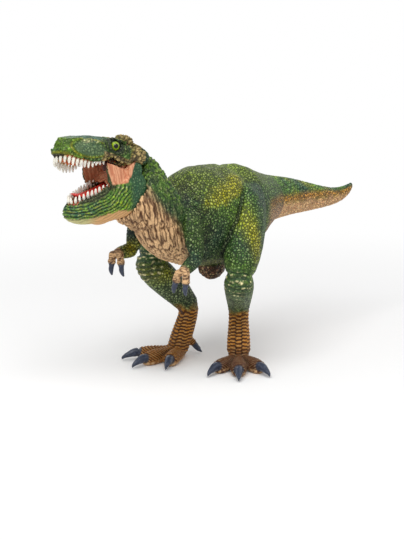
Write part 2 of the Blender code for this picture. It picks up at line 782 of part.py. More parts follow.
def make_arm(name, mirror, stance):
    spread, upper_lean, fore_lean, finger_lean = [radians(angle) for angle in stance]
    outwards = X * mirror * sin(spread)
    upper = (bone(-Y, upper_lean) + outwards).normalized()
    fore = bone(-Y, fore_lean)
    finger = (bone(-Y, finger_lean) - outwards / 2).normalized()
    shoulder = Vector((mirror * SHOULDER_ASIDE, -SHOULDER_AHEAD, SHOULDER_HEIGHT))
    elbow = shoulder + upper * UPPER_ARM_LENGTH
    wrist = elbow + fore * FOREARM_LENGTH
    stations = limb_stations(ARM_SHARES, shoulder, upper, UPPER_ARM_LENGTH, ARM_WIDTH, ARM_DEPTH)
    arm = loft(name, stations, points=LIMB_SIDES)
    stations = limb_stations(FOREARM_SHARES, elbow, fore, FOREARM_LENGTH, ARM_WIDTH, ARM_DEPTH)
    join(arm, loft("forearm", stations, points=LIMB_SIDES))
    for step in (-1, 1):
        root = wrist + X * step * FINGER_WIDTH * FINGER_APART_SHARE + fore * FINGER_WIDTH * FINGER_ROOT_SHARE
        splayed = (finger + X * step * FINGER_SPLAY_SHARE).normalized()
        stations = []
        for along, half_width in FINGER_SHARES:
            radius = FINGER_WIDTH * half_width
            stations.append((root + splayed * FINGER_LENGTH * along, radius, radius, radius))
        join(arm, loft("finger", stations, points=SMALL_SIDES))
        tip = root + splayed * FINGER_LENGTH
        join(arm, make_claw("claw", tip, splayed, FINGER_CLAW_LENGTH, FINGER_CLAW_WIDTH, -Y))
    return arm


def placed(obj, matrix):
    """A copy of an object, moved as the matrix says."""
    copy = copy_of(obj)
    copy.matrix_world = matrix
    return applied(copy)


def dress(obj, collection, carrier):
    """Gives a finished piece its material, its smooth shading, its collection and what carries it."""
    obj.data.materials.clear()
    obj.data.materials.append(new_material(obj.name, *FINISHES[obj.name]))
    obj.data.shade_smooth()
    obj.data.set_sharp_from_angle(angle=SHARP_ANGLE)
    for old in list(obj.users_collection):
        old.objects.unlink(obj)
    collection.objects.link(obj)
    obj.parent = carrier


def bore_for_pin(target, gap):
    return cut(target, cross_rod("bore", PIN_RADIUS + gap, HEAD_WIDTH + 2 * CUT_OVERRUN))


def make_eye(name, side):
    aside = side * HEAD_WIDTH * EYE_ASIDE_SHARE
    centre = Vector((aside, -SNOUT_LENGTH * EYE_AHEAD_SHARE, HEAD_HEIGHT * EYE_HEIGHT_SHARE))
    return ball(name, centre, (EYE_RADIUS, EYE_RADIUS, EYE_RADIUS))


def make_tongue():
    tip = Vector((0, -CHIN_AHEAD * TONGUE_AHEAD_SHARE, JAW_DEPTH * TONGUE_HEIGHT_SHARE))
    length = CHIN_AHEAD * TONGUE_LENGTH_SHARE
    half_depth = TONGUE_THICKNESS / 2
    stations = []
    for along, half_width, rise in TONGUE_SHARES:
        centre = tip + Y * length * along + Z * TONGUE_THICKNESS * rise
        stations.append((centre, TONGUE_WIDTH * half_width, half_depth, half_depth))
    return loft("tongue", stations, points=MOUTH_SIDES)


def fit_jaw(jaw, lower_mouth, tongue):
    """The jaw gets its ears, its folds of cheek skin, its trough and the bores for the pin."""
    ear_inside = CHEEK_INSIDE + CHEEK_THICKNESS / 2
    for side in (-1, 1):
        ear_middle = X * side * (ear_inside + EAR_OUTSIDE) / 2
        join(jaw, cross_rod("ear", EAR_RADIUS, EAR_OUTSIDE - ear_inside, ear_middle))
    seat(jaw, lower_mouth, tongue)
    room = THROAT_WIDTH / 2 + RUNNING_GAP
    cut(jaw, cross_rod("throat_room", THROAT_RADIUS + RUNNING_GAP, 2 * room))
    between = CHEEK_INSIDE - RUNNING_GAP
    low = (-between, -EAR_RADIUS - RUNNING_GAP, -JAW_DEPTH * THROAT_FLOOR_SHARE)
    cut(jaw, block("between_ears", low, (between, JAW_LENGTH, JAW_DEPTH)))
    join(jaw, make_cheek(-1), make_cheek(1))
    return bore_for_pin(jaw, RUNNING_GAP / 2)


def fit_skull(skull, upper_mouth, eyes):
    """The skull is cut for the mouth lining, the eyes and the pin, and slotted for the ears and cheek folds."""
    seat(skull, upper_mouth, *eyes)
    cut(skull, cross_rod("throat_seat", THROAT_RADIUS + GLUE_GAP, THROAT_WIDTH + 2 * GLUE_GAP))
    bore_for_pin(skull, GLUE_GAP)
    for side in (-1, 1):
        slot_width = CHEEK_THICKNESS + 2 * RUNNING_GAP
        slot_middle = X * side * (CHEEK_INSIDE + CHEEK_THICKNESS / 2)
        cut(skull, cross_rod("cheek_slot", CHEEK_RADIUS + RUNNING_GAP, slot_width, slot_middle))
        ear_middle = X * side * (CHEEK_INSIDE + HEAD_WIDTH / 2)
        cut(skull, cross_rod("ear_room", EAR_RADIUS + RUNNING_GAP, HEAD_WIDTH, ear_middle))
    return skull


def floor_middle(groups):
    """The point of the floor under the middle of all the pieces."""
    corners = []
    for place, pieces in groups:
        for piece in pieces:
            corners += [place @ vertex.co for vertex in piece.data.vertices]
    across = [corner.x for corner in corners]
    along = [corner.y for corner in corners]
    return Vector((min(across) + max(across), min(along) + max(along), 0)) / 2


def build():
    clear_scene()
    figure = new_collection("Toy dinosaur figure")
    head_place = (
        Matrix.Translation((-HINGE_ASIDE, -HINGE_AHEAD, HINGE_HEIGHT))
        @ Matrix.Rotation(-HEAD_YAW, 4, "Z")
        @ Matrix.Rotation(-HEAD_PITCH, 4, "X")
    )
    jaw_place = head_place @ Matrix.Rotation(JAW_GAPE, 4, "X")

    torso, tail = make_body()
    neck = make_neck()
    skull = make_skull()
    upper_mouth = make_palate_form()
    jaw = make_jaw_form()
    lower_mouth = make_lower_mouth_form()
    tongue = make_tongue()
    eyes = [make_eye("left_eye", 1), make_eye("right_eye", -1)]
    legs = [make_leg("left_leg", 1, LEG_STANCES["left"]), make_leg("right_leg", -1, LEG_STANCES["right"])]
    arms = [make_arm("left_arm", 1, ARM_STANCES["left"]), make_arm("right_arm", -1, ARM_STANCES["right"])]

    seat(torso, neck, *arms, *legs)
    seat(neck, *arms)
    throat = cross_rod("throat", THROAT_RADIUS + RUNNING_GAP, THROAT_WIDTH + RUNNING_GAP)
    ear_room = cross_rod("ears", EAR_RADIUS, JAW_WIDTH)
    neck_room = [placed(form, head_place) for form in (skull, upper_mouth, throat, ear_room)]
    neck_room.append(placed(jaw, jaw_place))
    seat(neck, *neck_room, gap=RUNNING_GAP)
    for form in (*neck_room, throat, ear_room):
        bpy.data.objects.remove(form)
    fit_skull(skull, upper_mouth, eyes)
    fit_jaw(jaw, lower_mouth, tongue)
    fit_palate(upper_mouth)
    fit_lower_mouth(lower_mouth, tongue)
    pin = cross_rod("jaw_pin", PIN_RADIUS, PIN_LENGTH)

    groups = {
        "figure_middle": (Matrix.Identity(4), (torso, tail, neck, *legs, *arms)),
        "head_frame": (head_place, (skull, upper_mouth, *eyes, pin)),
        "jaw_hinge": (jaw_place, (jaw, lower_mouth, tongue)),
    }
    home = Matrix.Translation(-floor_middle(groups.values()))
    for name, (place, pieces) in groups.items():
        carrier = new_frame(name, home @ place, figure)
        for piece in pieces:
            dress(piece, figure, carrier)


build()
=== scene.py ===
from math import cos, pi, radians, sin

import bmesh
import bpy
import numpy as np
from mathutils import Matrix, Vector, noise
from mathutils.bvhtree import BVHTree


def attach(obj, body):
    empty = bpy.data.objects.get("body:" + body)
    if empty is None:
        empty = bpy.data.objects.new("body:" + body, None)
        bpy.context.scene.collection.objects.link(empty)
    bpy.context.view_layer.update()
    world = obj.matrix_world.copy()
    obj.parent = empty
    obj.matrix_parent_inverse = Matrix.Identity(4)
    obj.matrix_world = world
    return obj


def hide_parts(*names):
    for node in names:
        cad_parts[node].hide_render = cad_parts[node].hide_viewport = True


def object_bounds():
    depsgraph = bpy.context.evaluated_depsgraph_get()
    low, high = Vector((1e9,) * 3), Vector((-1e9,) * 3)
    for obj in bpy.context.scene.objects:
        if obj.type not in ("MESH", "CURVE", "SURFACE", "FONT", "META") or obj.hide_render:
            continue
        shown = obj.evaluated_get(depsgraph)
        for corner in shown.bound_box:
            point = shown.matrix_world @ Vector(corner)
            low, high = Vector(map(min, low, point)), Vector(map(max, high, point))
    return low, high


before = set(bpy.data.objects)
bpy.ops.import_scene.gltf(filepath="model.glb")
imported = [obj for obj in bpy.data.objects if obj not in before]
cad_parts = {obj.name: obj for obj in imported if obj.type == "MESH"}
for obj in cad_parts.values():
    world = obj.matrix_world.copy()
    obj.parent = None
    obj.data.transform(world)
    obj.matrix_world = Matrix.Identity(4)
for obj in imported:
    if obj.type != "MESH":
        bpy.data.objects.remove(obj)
cad_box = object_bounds()

# The hide: soft plastic mouldings for trunk, tail, neck, skull and limbs, glued at hidden plugs and then
# painted as one. Here the mouldings are run together into one fine skin, so that folds and paint flow
# over the seams, and each piece is cut from that skin later on.
MM = 0.001
HIDE_NODES = ("torso", "tail", "neck", "head", "left_leg", "right_leg", "left_arm", "right_arm")
SEAM_SWELL = 0.24
SKIN_STEP = 0.45
WELD = 0.002
PULL_IN = 0.55
PUSH_OUT = -0.57
BODY_PASSES = 60
SHARE_PASSES = 14
SHARE_SPREAD = 0.7
SHARE_KEPT = 0.3
SEAM_PASSES = 6
BROAD_SHARES = {"torso": 1.0, "tail": 1.0, "neck": 0.8, "head": 0.35, "left_leg": 0.45, "right_leg": 0.45,
                "left_arm": 0.3, "right_arm": 0.3}


def ramp(low, high, value):
    share = np.clip((value - low) / (high - low), 0, 1)
    return share * share * (3 - 2 * share)


def near(value, middle, width):
    """1 at the middle, falling off to 0 a width away."""
    return 1 - ramp(0, 1, np.abs(value - middle) / width)


def noise_at(points, size, seed=0):
    """Soft noise from -1 to 1, with lumps of a given size in millimetres, or of one size along each axis."""
    moved = points / np.asarray(size, float) + np.array((17.3, 5.1, 9.7)) * (seed + 1)
    return np.array([noise.noise(point) for point in moved.tolist()])


def cells_at(points, size, seed=0):
    """Distance to the edge of the cell that each point lies in, as a share of the cell's size."""
    moved = points / np.asarray(size, float) + np.array((3.7, 11.9, 7.3)) * (seed + 1)
    found = []
    for point in moved.tolist():
        nearest = noise.voronoi(point)[0]
        found.append(nearest[1] - nearest[0])
    return np.array(found)


def new_object(name, data):
    """A new object in the scene."""
    made = bpy.data.objects.new(name, data)
    bpy.context.scene.collection.objects.link(made)
    return made


def arrays_of(mesh):
    points = np.empty(len(mesh.vertices) * 3)
    mesh.vertices.foreach_get("co", points)
    edges = np.empty(len(mesh.edges) * 2, int)
    mesh.edges.foreach_get("vertices", edges)
    return points.reshape(-1, 3) / MM, edges.reshape(-1, 2)


def normals_of(mesh):
    normals = np.empty(len(mesh.vertices) * 3)
    mesh.vertices.foreach_get("normal", normals)
    return normals.reshape(-1, 3)


def set_points(mesh, points):
    mesh.vertices.foreach_set("co", (points * MM).ravel())
    mesh.update()


def neighbour_mean(values, edges, count):
    """Each vertex's mean over its neighbours."""
    first, second = edges.T
    degree = np.bincount(first, minlength=count) + np.bincount(second, minlength=count)
    flat = values.reshape(count, -1)
    total = np.empty_like(flat)
    for column in range(flat.shape[1]):
        total[:, column] = np.bincount(first, flat[second, column], count)
        total[:, column] += np.bincount(second, flat[first, column], count)
    return (total / np.maximum(degree, 1)[:, None]).reshape(values.shape)


def relaxed(points, edges, passes, strength):
    """Points smoothed without shrinking: each pass pulls in and then pushes out a little more."""
    strength = np.broadcast_to(strength, (len(points),))[:, None]
    for _ in range(passes):
        for factor in (PULL_IN, PUSH_OUT):
            points = points + (neighbour_mean(points, edges, len(points)) - points) * factor * strength
    return points


def full_turn(count):
    return np.linspace(0, 2 * pi, count, endpoint=False)


def tube(rings):
    """Points and outward faces of a closed shell through rings of points, with one more point at each end."""
    rings = np.asarray(rings)
    count, around = rings.shape[:2]
    points = np.concatenate([rings.reshape(-1, 3), [rings[0].mean(0)], [rings[-1].mean(0)]])
    faces = []
    for j in range(around):
        k = (j + 1) % around
        for i in range(count - 1):
            start = i * around
            faces.append((start + j, start + k, start + around + k, start + around + j))
        last = (count - 1) * around
        faces.append((k, j, count * around))
        faces.append((last + j, last + k, count * around + 1))
    volume = 0.0
    for face in faces:
        for second, third in zip(face[1:-1], face[2:]):
            volume += points[face[0]] @ np.cross(points[second], points[third])
    if volume < 0:
        faces = [face[::-1] for face in faces]
    return points, faces


def drum(stations, around):
    """A closed round shell along the first axis, through stations that each give a place and a radius."""
    angles = full_turn(around)
    return tube([np.c_[np.full(around, place), radius * np.cos(angles), radius * np.sin(angles)]
                 for place, radius in stations])


def add_tube(work, rings):
    """Adds a closed shell, given in millimetres, to a work mesh."""
    points, faces = tube(rings)
    made = [work.verts.new(point * MM) for point in points]
    for face in faces:
        work.faces.new([made[i] for i in face])


def swollen_copy(work, node, swell):
    """Adds a CAD node to the work mesh, welded and swollen along its normals."""
    piece = bmesh.new()
    piece.from_mesh(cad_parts[node].data)
    bmesh.ops.remove_doubles(piece, verts=piece.verts, dist=WELD * MM)
    piece.normal_update()
    moves = [vertex.normal * swell * MM for vertex in piece.verts]
    for vertex, move in zip(piece.verts, moves):
        vertex.co += move
    mesh = bpy.data.meshes.new(node + "_swollen")
    piece.to_mesh(mesh)
    piece.free()
    work.from_mesh(mesh)
    bpy.data.meshes.remove(mesh)


def shells_of(edges, count):
    """A label for each vertex, the same all over one connected shell."""
    labels = np.arange(count)
    first, second = edges.T
    while True:
        lowest = labels.copy()
        np.minimum.at(lowest, first, labels[second])
        np.minimum.at(lowest, second, labels[first])
        lowest = lowest[lowest]
        if (lowest == labels).all():
            return labels
        labels = lowest


def remeshed(name, nodes, step, swell, fill=None):
    """One closed skin round CAD nodes, as a mesh of even squares, with only its largest shell kept."""
    work = bmesh.new()
    for node in nodes:
        swollen_copy(work, node, swell)
    if fill:
        fill(work)
    mesh = bpy.data.meshes.new(name)
    work.to_mesh(mesh)
    work.free()
    obj = new_object(name, mesh)
    remesh = obj.modifiers.new("Voxels", "REMESH")
    remesh.mode = "VOXEL"
    remesh.voxel_size = step * MM
    bpy.context.view_layer.update()
    graph = bpy.context.evaluated_depsgraph_get()
    made = bpy.data.meshes.new_from_object(obj.evaluated_get(graph))
    bpy.data.objects.remove(obj)
    bpy.data.meshes.remove(mesh)
    points, edges = arrays_of(made)
    labels = shells_of(edges, len(points))
    largest = np.bincount(labels).argmax()
    work = bmesh.new()
    work.from_mesh(made)
    work.verts.ensure_lookup_table()
    loose = [work.verts[i] for i in np.nonzero(labels != largest)[0]]
    bmesh.ops.delete(work, geom=loose, context="VERTS")
    work.to_mesh(made)
    work.free()
    made.update()
    return made


def nearest_nodes(points, nodes):
    """For each point, the number of the CAD node whose surface is nearest."""
    corners, faces, owners = [], [], []
    for number, node in enumerate(nodes):
        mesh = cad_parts[node].data
        start = len(corners)
        corners += [vertex.co / MM for vertex in mesh.vertices]
        for face in mesh.polygons:
            faces.append([start + i for i in face.vertices])
            owners.append(number)
    tree = BVHTree.FromPolygons(corners, faces)
    return np.array([owners[tree.find_nearest(point)[2]] for point in points.tolist()])


HINGE = np.array((-10.916, -92.192, 120.0))
HEAD_YAW = radians(12)
HEAD_PITCH = radians(16)
JAW_GAPE = radians(28)
head_turn = Matrix.Rotation(-HEAD_YAW, 3, "Z") @ Matrix.Rotation(-HEAD_PITCH, 3, "X")
jaw_turn = head_turn @ Matrix.Rotation(JAW_GAPE, 3, "X")
head_aside, head_back, head_up = np.array(head_turn).T
jaw_aside, _, jaw_up = np.array(jaw_turn).T
SNOUT_FILLS = ((2.8, 35.6, 6.0), (-2.8, 35.6, 6.0))
SNOUT_FILL_RADII = (5.0, 7.6, 6.1)


def in_frame(points, turn):
    """Points in the frame of the skull or the jaw: aside to the figure's left, ahead of the hinge, and up."""
    local = (points - HINGE) @ np.array(turn)
    return local[:, 0], -local[:, 1], local[:, 2]


def placed(points, turn):
    """The reverse: world places of points given as (aside, ahead, up) in the skull's or the jaw's frame."""
    return HINGE + (np.asarray(points, float) * (1, -1, 1)) @ np.array(turn).T


HIP_ASIDE = 16.0
HIP_BEHIND = 16.0
HIP_HEIGHT = 92.0
FIGURE_SHIFT = np.array((-3.416, -22.692, 0.0))
THIGH_LENGTH = 50.0
SHANK_LENGTH = 43.0
METATARSUS_LENGTH = 24.0
LEG_STANCES = {"left_leg": (1, 27, 43, 35, -57, 26, 35), "right_leg": (-1, 20, 50, 21, -45, 20, 6)}
TOE_SPREAD = 30
TOE_LENGTH = 30.0
SIDE_TOE_SHARE = 0.85
CLAW_POINTS = 24
CLAW_ROOT = 1.5
TOE_CLAW_HEIGHT = 4.8
TOE_CLAW_REACH = 10.8
TOE_CLAW_BEND = 3.9
TOE_CLAW_RADIUS = 2.35
SPUR_WAY = (0.65, 0.35, 1.1)
SPUR_FLESH = 11.6
SPUR_RADIUS = 2.0
SPUR_REACH = 6.4
SPUR_BEND = -1.2
SPUR_CLAW_RADIUS = 1.7
ELBOWS = {"left_arm": (20.2, -65.2, 71.0), "right_arm": (-24.0, -65.0, 70.3)}
WRISTS = {"left_arm": (20.2, -77.1, 65.7), "right_arm": (-24.0, -78.0, 70.3)}
FINGER_WAYS = {"left_arm": (-0.155, -0.07, -1.0), "right_arm": (0.07, -0.07, -1.0)}
FINGER_LENGTH = 8.0
FINGER_APART = 2.6
FINGER_SPLAY = 0.12
FINGER_CLAW_REACH = 6.0
FINGER_CLAW_BEND = 1.6
FINGER_CLAW_RADIUS = 1.45


def turned_out(mirror, degrees):
    turn = radians(degrees)
    return np.array((mirror * sin(turn), -cos(turn), 0)), np.array((cos(turn), mirror * sin(turn), 0))


def bone(direction, lean):
    return direction * sin(radians(lean)) - np.array((0, 0, cos(radians(lean))))


def unit(way):
    way = np.asarray(way, float)
    return way / np.linalg.norm(way)


def leg_joints(stance):
    """Hip, knee, hock and instep of a leg, and the directions of its toes, in millimetres."""
    mirror, thigh_turn, thigh_lean, shank_turn, shank_lean, foot_lean, toe_turn = stance
    ahead, _ = turned_out(mirror, shank_turn)
    hip = FIGURE_SHIFT + np.array((mirror * HIP_ASIDE, HIP_BEHIND, HIP_HEIGHT))
    knee = hip + bone(turned_out(mirror, thigh_turn)[0], thigh_lean) * THIGH_LENGTH
    hock = knee + bone(ahead, shank_lean) * SHANK_LENGTH
    instep = hock + bone(ahead, foot_lean) * METATARSUS_LENGTH
    toes = [turned_out(mirror, toe_turn + spread)[0] for spread in (-TOE_SPREAD, 0, TOE_SPREAD)]
    return hip, knee, hock, instep, toes


def claw_line(root, way, droop, reach, bend, radius):
    """A talon, from a root inside the flesh to its tip: its middle line's points and its radius at each."""
    shares = np.linspace(0, 1, CLAW_POINTS)
    drop = bend * (0.35 * shares - 1.35 * shares ** 2)
    middle = root + np.outer(shares * reach, way) + np.outer(drop, droop)
    return middle, radius * (1 - shares ** 1.5) ** 0.8 + 0.3


def claws_of(node):
    """The middle lines and radii of a limb's claws."""
    lines = []
    if node in LEG_STANCES:
        mirror, *_, shank_turn, _, foot_lean, _ = LEG_STANCES[node]
        _, _, hock, instep, toes = leg_joints(LEG_STANCES[node])
        for number, way in enumerate(toes):
            length = TOE_LENGTH if number == 1 else TOE_LENGTH * SIDE_TOE_SHARE
            root = np.array((instep[0], instep[1], TOE_CLAW_HEIGHT)) + way * (length - CLAW_ROOT)
            droop = np.array((0, 0, 1.0))
            lines.append(claw_line(root, way, droop, TOE_CLAW_REACH, TOE_CLAW_BEND, TOE_CLAW_RADIUS))
        ahead, beside = turned_out(mirror, shank_turn)
        way = unit(-ahead * SPUR_WAY[0] - beside * mirror * SPUR_WAY[1] - np.array((0, 0, SPUR_WAY[2])))
        root = hock + bone(ahead, foot_lean) * METATARSUS_LENGTH * 0.6 + way * SPUR_FLESH
        lines.append(claw_line(root, way, -np.cross(way, beside), SPUR_REACH, SPUR_BEND, SPUR_CLAW_RADIUS))
        return lines
    wrist = np.array(WRISTS[node])
    fore = unit(wrist - ELBOWS[node])
    for step in (-1, 1):
        way = unit(unit(FINGER_WAYS[node]) + np.array((step * FINGER_SPLAY, 0, 0)))
        root = wrist + np.array((step * FINGER_APART, 0, 0)) + fore * 1.7 + way * (FINGER_LENGTH - CLAW_ROOT)
        droop = np.array((0, -1.0, 0))
        lines.append(claw_line(root, way, droop, FINGER_CLAW_REACH, FINGER_CLAW_BEND, FINGER_CLAW_RADIUS))
    return lines


def fill_flesh(work):
    """Fills out the front of the snout with two soft lumps, and thickens each claw and spur."""
    for node in ("left_leg", "right_leg", "left_arm", "right_arm"):
        for middle, radii in claws_of(node):
            way = unit(middle[-1] - middle[0])
            first = unit(np.cross(way, (0.3, 0.2, 1)))
            second = np.cross(way, first)
            around = full_turn(20)[:, None]
            wheel = np.cos(around) * first + np.sin(around) * second
            add_tube(work, [point + wheel * radius for point, radius in zip(middle, radii)])
        if node in LEG_STANCES:
            flesh = [middle[0] - way * back for back in np.linspace(SPUR_FLESH - 2, -0.8, 8)]
            add_tube(work, [point + wheel * SPUR_RADIUS for point in flesh])
    for centre in SNOUT_FILLS:
        place = Matrix.Translation(Vector(placed(centre, head_turn) * MM)) @ head_turn.to_4x4()
        sized = place @ Matrix.Diagonal((*(np.array(SNOUT_FILL_RADII) * MM), 1))
        bmesh.ops.create_icosphere(work, subdivisions=4, radius=1, matrix=sized)


hide_mesh = remeshed("hide", HIDE_NODES, SKIN_STEP, SEAM_SWELL, fill_flesh)
skin, skin_edges = arrays_of(hide_mesh)
skin = skin - normals_of(hide_mesh) * SEAM_SWELL
owner = nearest_nodes(skin, HIDE_NODES)
share = np.eye(len(HIDE_NODES))[owner]
for _ in range(SHARE_PASSES):
    share = neighbour_mean(share, skin_edges, len(share)) * SHARE_SPREAD + share * SHARE_KEPT
share /= share.sum(1)[:, None]
broad = share @ np.array([BROAD_SHARES[node] for node in HIDE_NODES])
skin = relaxed(skin, skin_edges, SEAM_PASSES, 0.8)
skin = relaxed(skin, skin_edges, BODY_PASSES, broad)


def share_of(node):
    return share[:, HIDE_NODES.index(node)]


LEAN_SHARE = 0.19
LEAN_FROM = 9.0
BROW_DROP = 2.8
SNOUT_NARROWING = 0.42
SNOUT_MIDDLE = (34.0, 2.0)
SNOUT_HALF_WIDTH = 7.6
SNOUT_PROFILE = ((-16, 13.8), (-2, 12.3), (22, 11.5), (41, 11.1), (65, 10.1), (90, 10.4))
HUMP = ((-53.0, 10.0, -2.0), (-38.0, 13.0, 1.1), (-8.0, 9.0, -2.5), (5.0, 9.0, 1.0))


def leaned(aside, ahead, rise):
    """How far the skull sinks towards its right: the snout leans, and the right brow stands lower."""
    snout = LEAN_SHARE * (LEAN_FROM - aside) * ramp(17, 26, ahead) * ramp(9, 3, rise)
    brow = BROW_DROP * ramp(10.5, 14.5, rise) * ramp(3, -5, aside) * ramp(24, 17, ahead)
    return snout + brow


head_share = share_of("head")
aside, ahead, rise = in_frame(skin, head_turn)
drop = leaned(aside, ahead, rise) * head_share
lip_curve = (1.4 + 2.0 * ramp(1, 5, np.abs(aside))) * ramp(33, 41, ahead) - 2.0 * near(ahead, 25, 9)
drop -= lip_curve * ramp(5, 0.5, rise) * head_share
skin = skin - drop[:, None] * head_up
aside, ahead, rise = in_frame(skin, head_turn)
narrowed = SNOUT_NARROWING * ramp(2, 10, rise) * ramp(29, 40, ahead) * head_share
skin -= (narrowed * aside)[:, None] * head_aside
aside = aside * (1 - narrowed)
way_ahead, way_up = ahead - SNOUT_MIDDLE[0], rise - SNOUT_MIDDLE[1]
profile_reach = np.interp(np.degrees(np.arctan2(way_up, way_ahead)), *np.array(SNOUT_PROFILE).T)
breadth = (np.abs(aside) / SNOUT_HALF_WIDTH) ** 2.5
excess = (breadth + (np.hypot(way_ahead, way_up) / profile_reach) ** 2.5) ** 0.4 - 1
pull = np.clip(excess / (1 + excess), 0, 1) * (way_ahead > 0) * ramp(-7, -2, way_up) * head_share
pull = pull * ramp(0, 4, way_ahead)
skin += (pull * way_ahead)[:, None] * head_back - (pull * way_up)[:, None] * head_up
for middle, width, bump in HUMP:
    on_back = ramp(92, 104, skin[:, 2]) * ramp(-75, -60, skin[:, 1])
    skin[:, 2] += bump * near(skin[:, 1], middle, width) * on_back
set_points(hide_mesh, skin)
skin_normals = normals_of(hide_mesh)
LEAST_SHARE = 0.001
height = np.zeros(len(skin))
paint = np.zeros((len(skin), 3))
scaly, banded, band_place, glossy = np.zeros((4, len(skin)))


def rows_of(node):
    """The skin's vertices that a piece has a share in, that share, and their places."""
    mine = share_of(node)
    rows = np.nonzero(mine > LEAST_SHARE)[0]
    return rows, mine[rows], skin[rows]


def colour(red, green, blue):
    """A colour as it is seen on a screen, from 0 to 255, turned to linear light."""
    seen = np.array((red, green, blue)) / 255
    return np.where(seen <= 0.04045, seen / 12.92, ((seen + 0.055) / 1.055) ** 2.4)


def blended(first, second, weight):
    return first + (second - first) * np.asarray(weight)[..., None]


def add_coat(rows, weight, coat, lift, scales, band=None, place=None):
    """Adds one piece's paint, relief in millimetres, scaliness and bands to the skin, by its share."""
    paint[rows] += coat * weight[:, None]
    height[rows] += lift * weight
    scaly[rows] += scales * weight
    if band is not None:
        banded[rows] += band * weight
        band_place[rows] += place * weight


GREEN = colour(72, 112, 36)
GRASS = colour(124, 166, 36)
TEAL = colour(34, 76, 62)
OLIVE = colour(184, 176, 14)
TAN = colour(234, 190, 140)
BROWN = colour(88, 54, 32)
CREAM = colour(226, 214, 160)
OCHRE = colour(190, 124, 40)
PINK_TAN = colour(200, 146, 100)
KEEL_BROWN = colour(156, 102, 74)


def green_coat(points, seed):
    """The airbrushed green of the back: grass green and teal in soft clouds, with grain."""
    clouds = noise_at(points, 22, seed)
    grain = noise_at(points, 3.2, seed + 1)
    coat = blended(GREEN, GRASS, ramp(-0.05, 0.55, clouds + 0.35 * grain) * 0.55)
    return blended(coat, TEAL, ramp(0.05, 0.55, -clouds - 0.3 * grain) * 0.8)


def folds_at(points, along, spacing, length, seed, warp=0.45):
    """Folds that run along a direction: 1 on their crests and 0 in the creases between them."""
    along = np.asarray(along, float)
    along = along / np.linalg.norm(along, axis=-1, keepdims=True)
    lengthways = (points * along).sum(-1, keepdims=True) * along
    squeezed = (points - lengthways) / spacing + lengthways / length
    squeezed = squeezed + warp * noise_at(points, 3.4, seed + 5)[:, None]
    squeezed = squeezed + 0.6 * warp * noise_at(points, 1.5, seed + 6)[:, None]
    return ramp(0.0, 0.34, np.abs(noise_at(squeezed, 1.0, seed)))


CHEST_EDGE = ((50, -42), (61, -44), (64, -48), (68.5, -56), (75.8, -62), (82.2, -63), (91.5, -72),
              (97.9, -80.5), (110.6, -90.5), (122, -98), (132, -108))
CHEST_SOFTNESS = 4.0
TAIL_LINE = 87.0
TAIL_LINE_START = 18.0
TAIL_LINE_FALL = 0.08


def chest_share(points):
    """1 on the tan throat and chest, 0 on the green behind it."""
    edge = np.interp(points[:, 2], *np.array(CHEST_EDGE).T)
    return ramp(CHEST_SOFTNESS, -CHEST_SOFTNESS, points[:, 1] - edge + 3.0 * noise_at(points, 5, 18))


def throat_folds(points):
    """The fine upright folds of the throat, which run on over the chest."""
    return folds_at(points, (-0.05, 0.35, -1), 1.35, 26, 14, 0.2)


def hip_seam(rows):
    """1 in the crease where the front of a thigh meets the flank, where the skin is sunk and painted dark as
    shade.
    """
    legs = share_of("left_leg") + share_of("right_leg")
    seam = ramp(0.15, 0.9, 4 * legs[rows] * share_of("torso")[rows])
    return seam * ramp(106, 97, skin[rows, 2]) * ramp(-10, -18, skin[rows, 1])


def above_tail_line(points):
    """Height above the line along the tail where green turns to tan."""
    return points[:, 2] - (TAIL_LINE - TAIL_LINE_FALL * (points[:, 1] - TAIL_LINE_START))


def tail_under(points, up):
    """1 on the tan underside of the tail and its base."""
    line = above_tail_line(points) + 1.5 * noise_at(points, 4, 19)
    return ramp(2.5, -2.5, line) * ramp(0.55, 0.1, up)


# Torso: the trunk's moulding, with the loose skin of the flank in shallow folds behind the arm and in
# front of the hip, small pebble scales all over, an olive patch high on the flank and a tan belly.
PATCH_MIDDLE = (-32.0, 102.5)
PATCH_REACH = (24.0, 6.5)
PATCH_TILT = 0.25
HIP_CREASE_DEPTH = 1.5

rows, weight, at = rows_of("torso")
x, y, z = at.T
up = skin_normals[rows, 2]
chest = chest_share(at)
flank_folds = folds_at(at, (0, 0.35, 1), 4.2, 22, 3)
chest_folds = throat_folds(at)
hip_folds = near(y, -24, 16) * ramp(96, 72, z) * 0.7
fold_share = np.clip(ramp(-40, -52, y) + hip_folds, 0, 1)
coat = green_coat(at, 1)
# Lighter olive along the top of the back, partly the olive airbrush and partly painted highlight; darker lower
# on the flank as painted shade.
coat = blended(coat, OLIVE, 0.22 * ramp(98, 108, z))
coat = coat * (1 - 0.2 * ramp(98, 84, z))[:, None]
from_patch = y - PATCH_MIDDLE[0]
patch = np.hypot(from_patch / PATCH_REACH[0], (z - PATCH_MIDDLE[1] - PATCH_TILT * from_patch) / PATCH_REACH[1])
coat = blended(coat, OLIVE, ramp(1.15, 0.3, patch + 0.3 * noise_at(at, 4, 7)) * 0.85)
coat = blended(coat, TEAL, 0.75 * near(z, 78, 18) * near(y, -44, 12))
coat = coat * (1 - 0.7 * fold_share * (1 - flank_folds))[:, None]
belly = ramp(-0.55, -0.85, up) * ramp(70, 60, z)
coat = blended(coat, TAN * 0.6, 0.3 * belly)
under_tail = tail_under(at, up) * ramp(2, 14, y)
coat = blended(coat, OCHRE, near(z, 89, 5) * ramp(4, 14, y) * 0.8)
coat = blended(coat, PINK_TAN, under_tail)
chest_coat = blended(BROWN, TAN, chest_folds)
coat = blended(coat, chest_coat, chest)
keel = ramp(58.5, 56.5, z) * ramp(12, 8, np.abs(x + 3.4))
coat = blended(coat, blended(BROWN, KEEL_BROWN, folds_at(at, (0, 1, 0.4), 1.6, 5, 9)), keel)
hip_crease = hip_seam(rows)
# Painted shade: the crease between thigh and flank is painted dark teal.
coat = blended(coat, TEAL * 0.4, 0.7 * hip_crease)
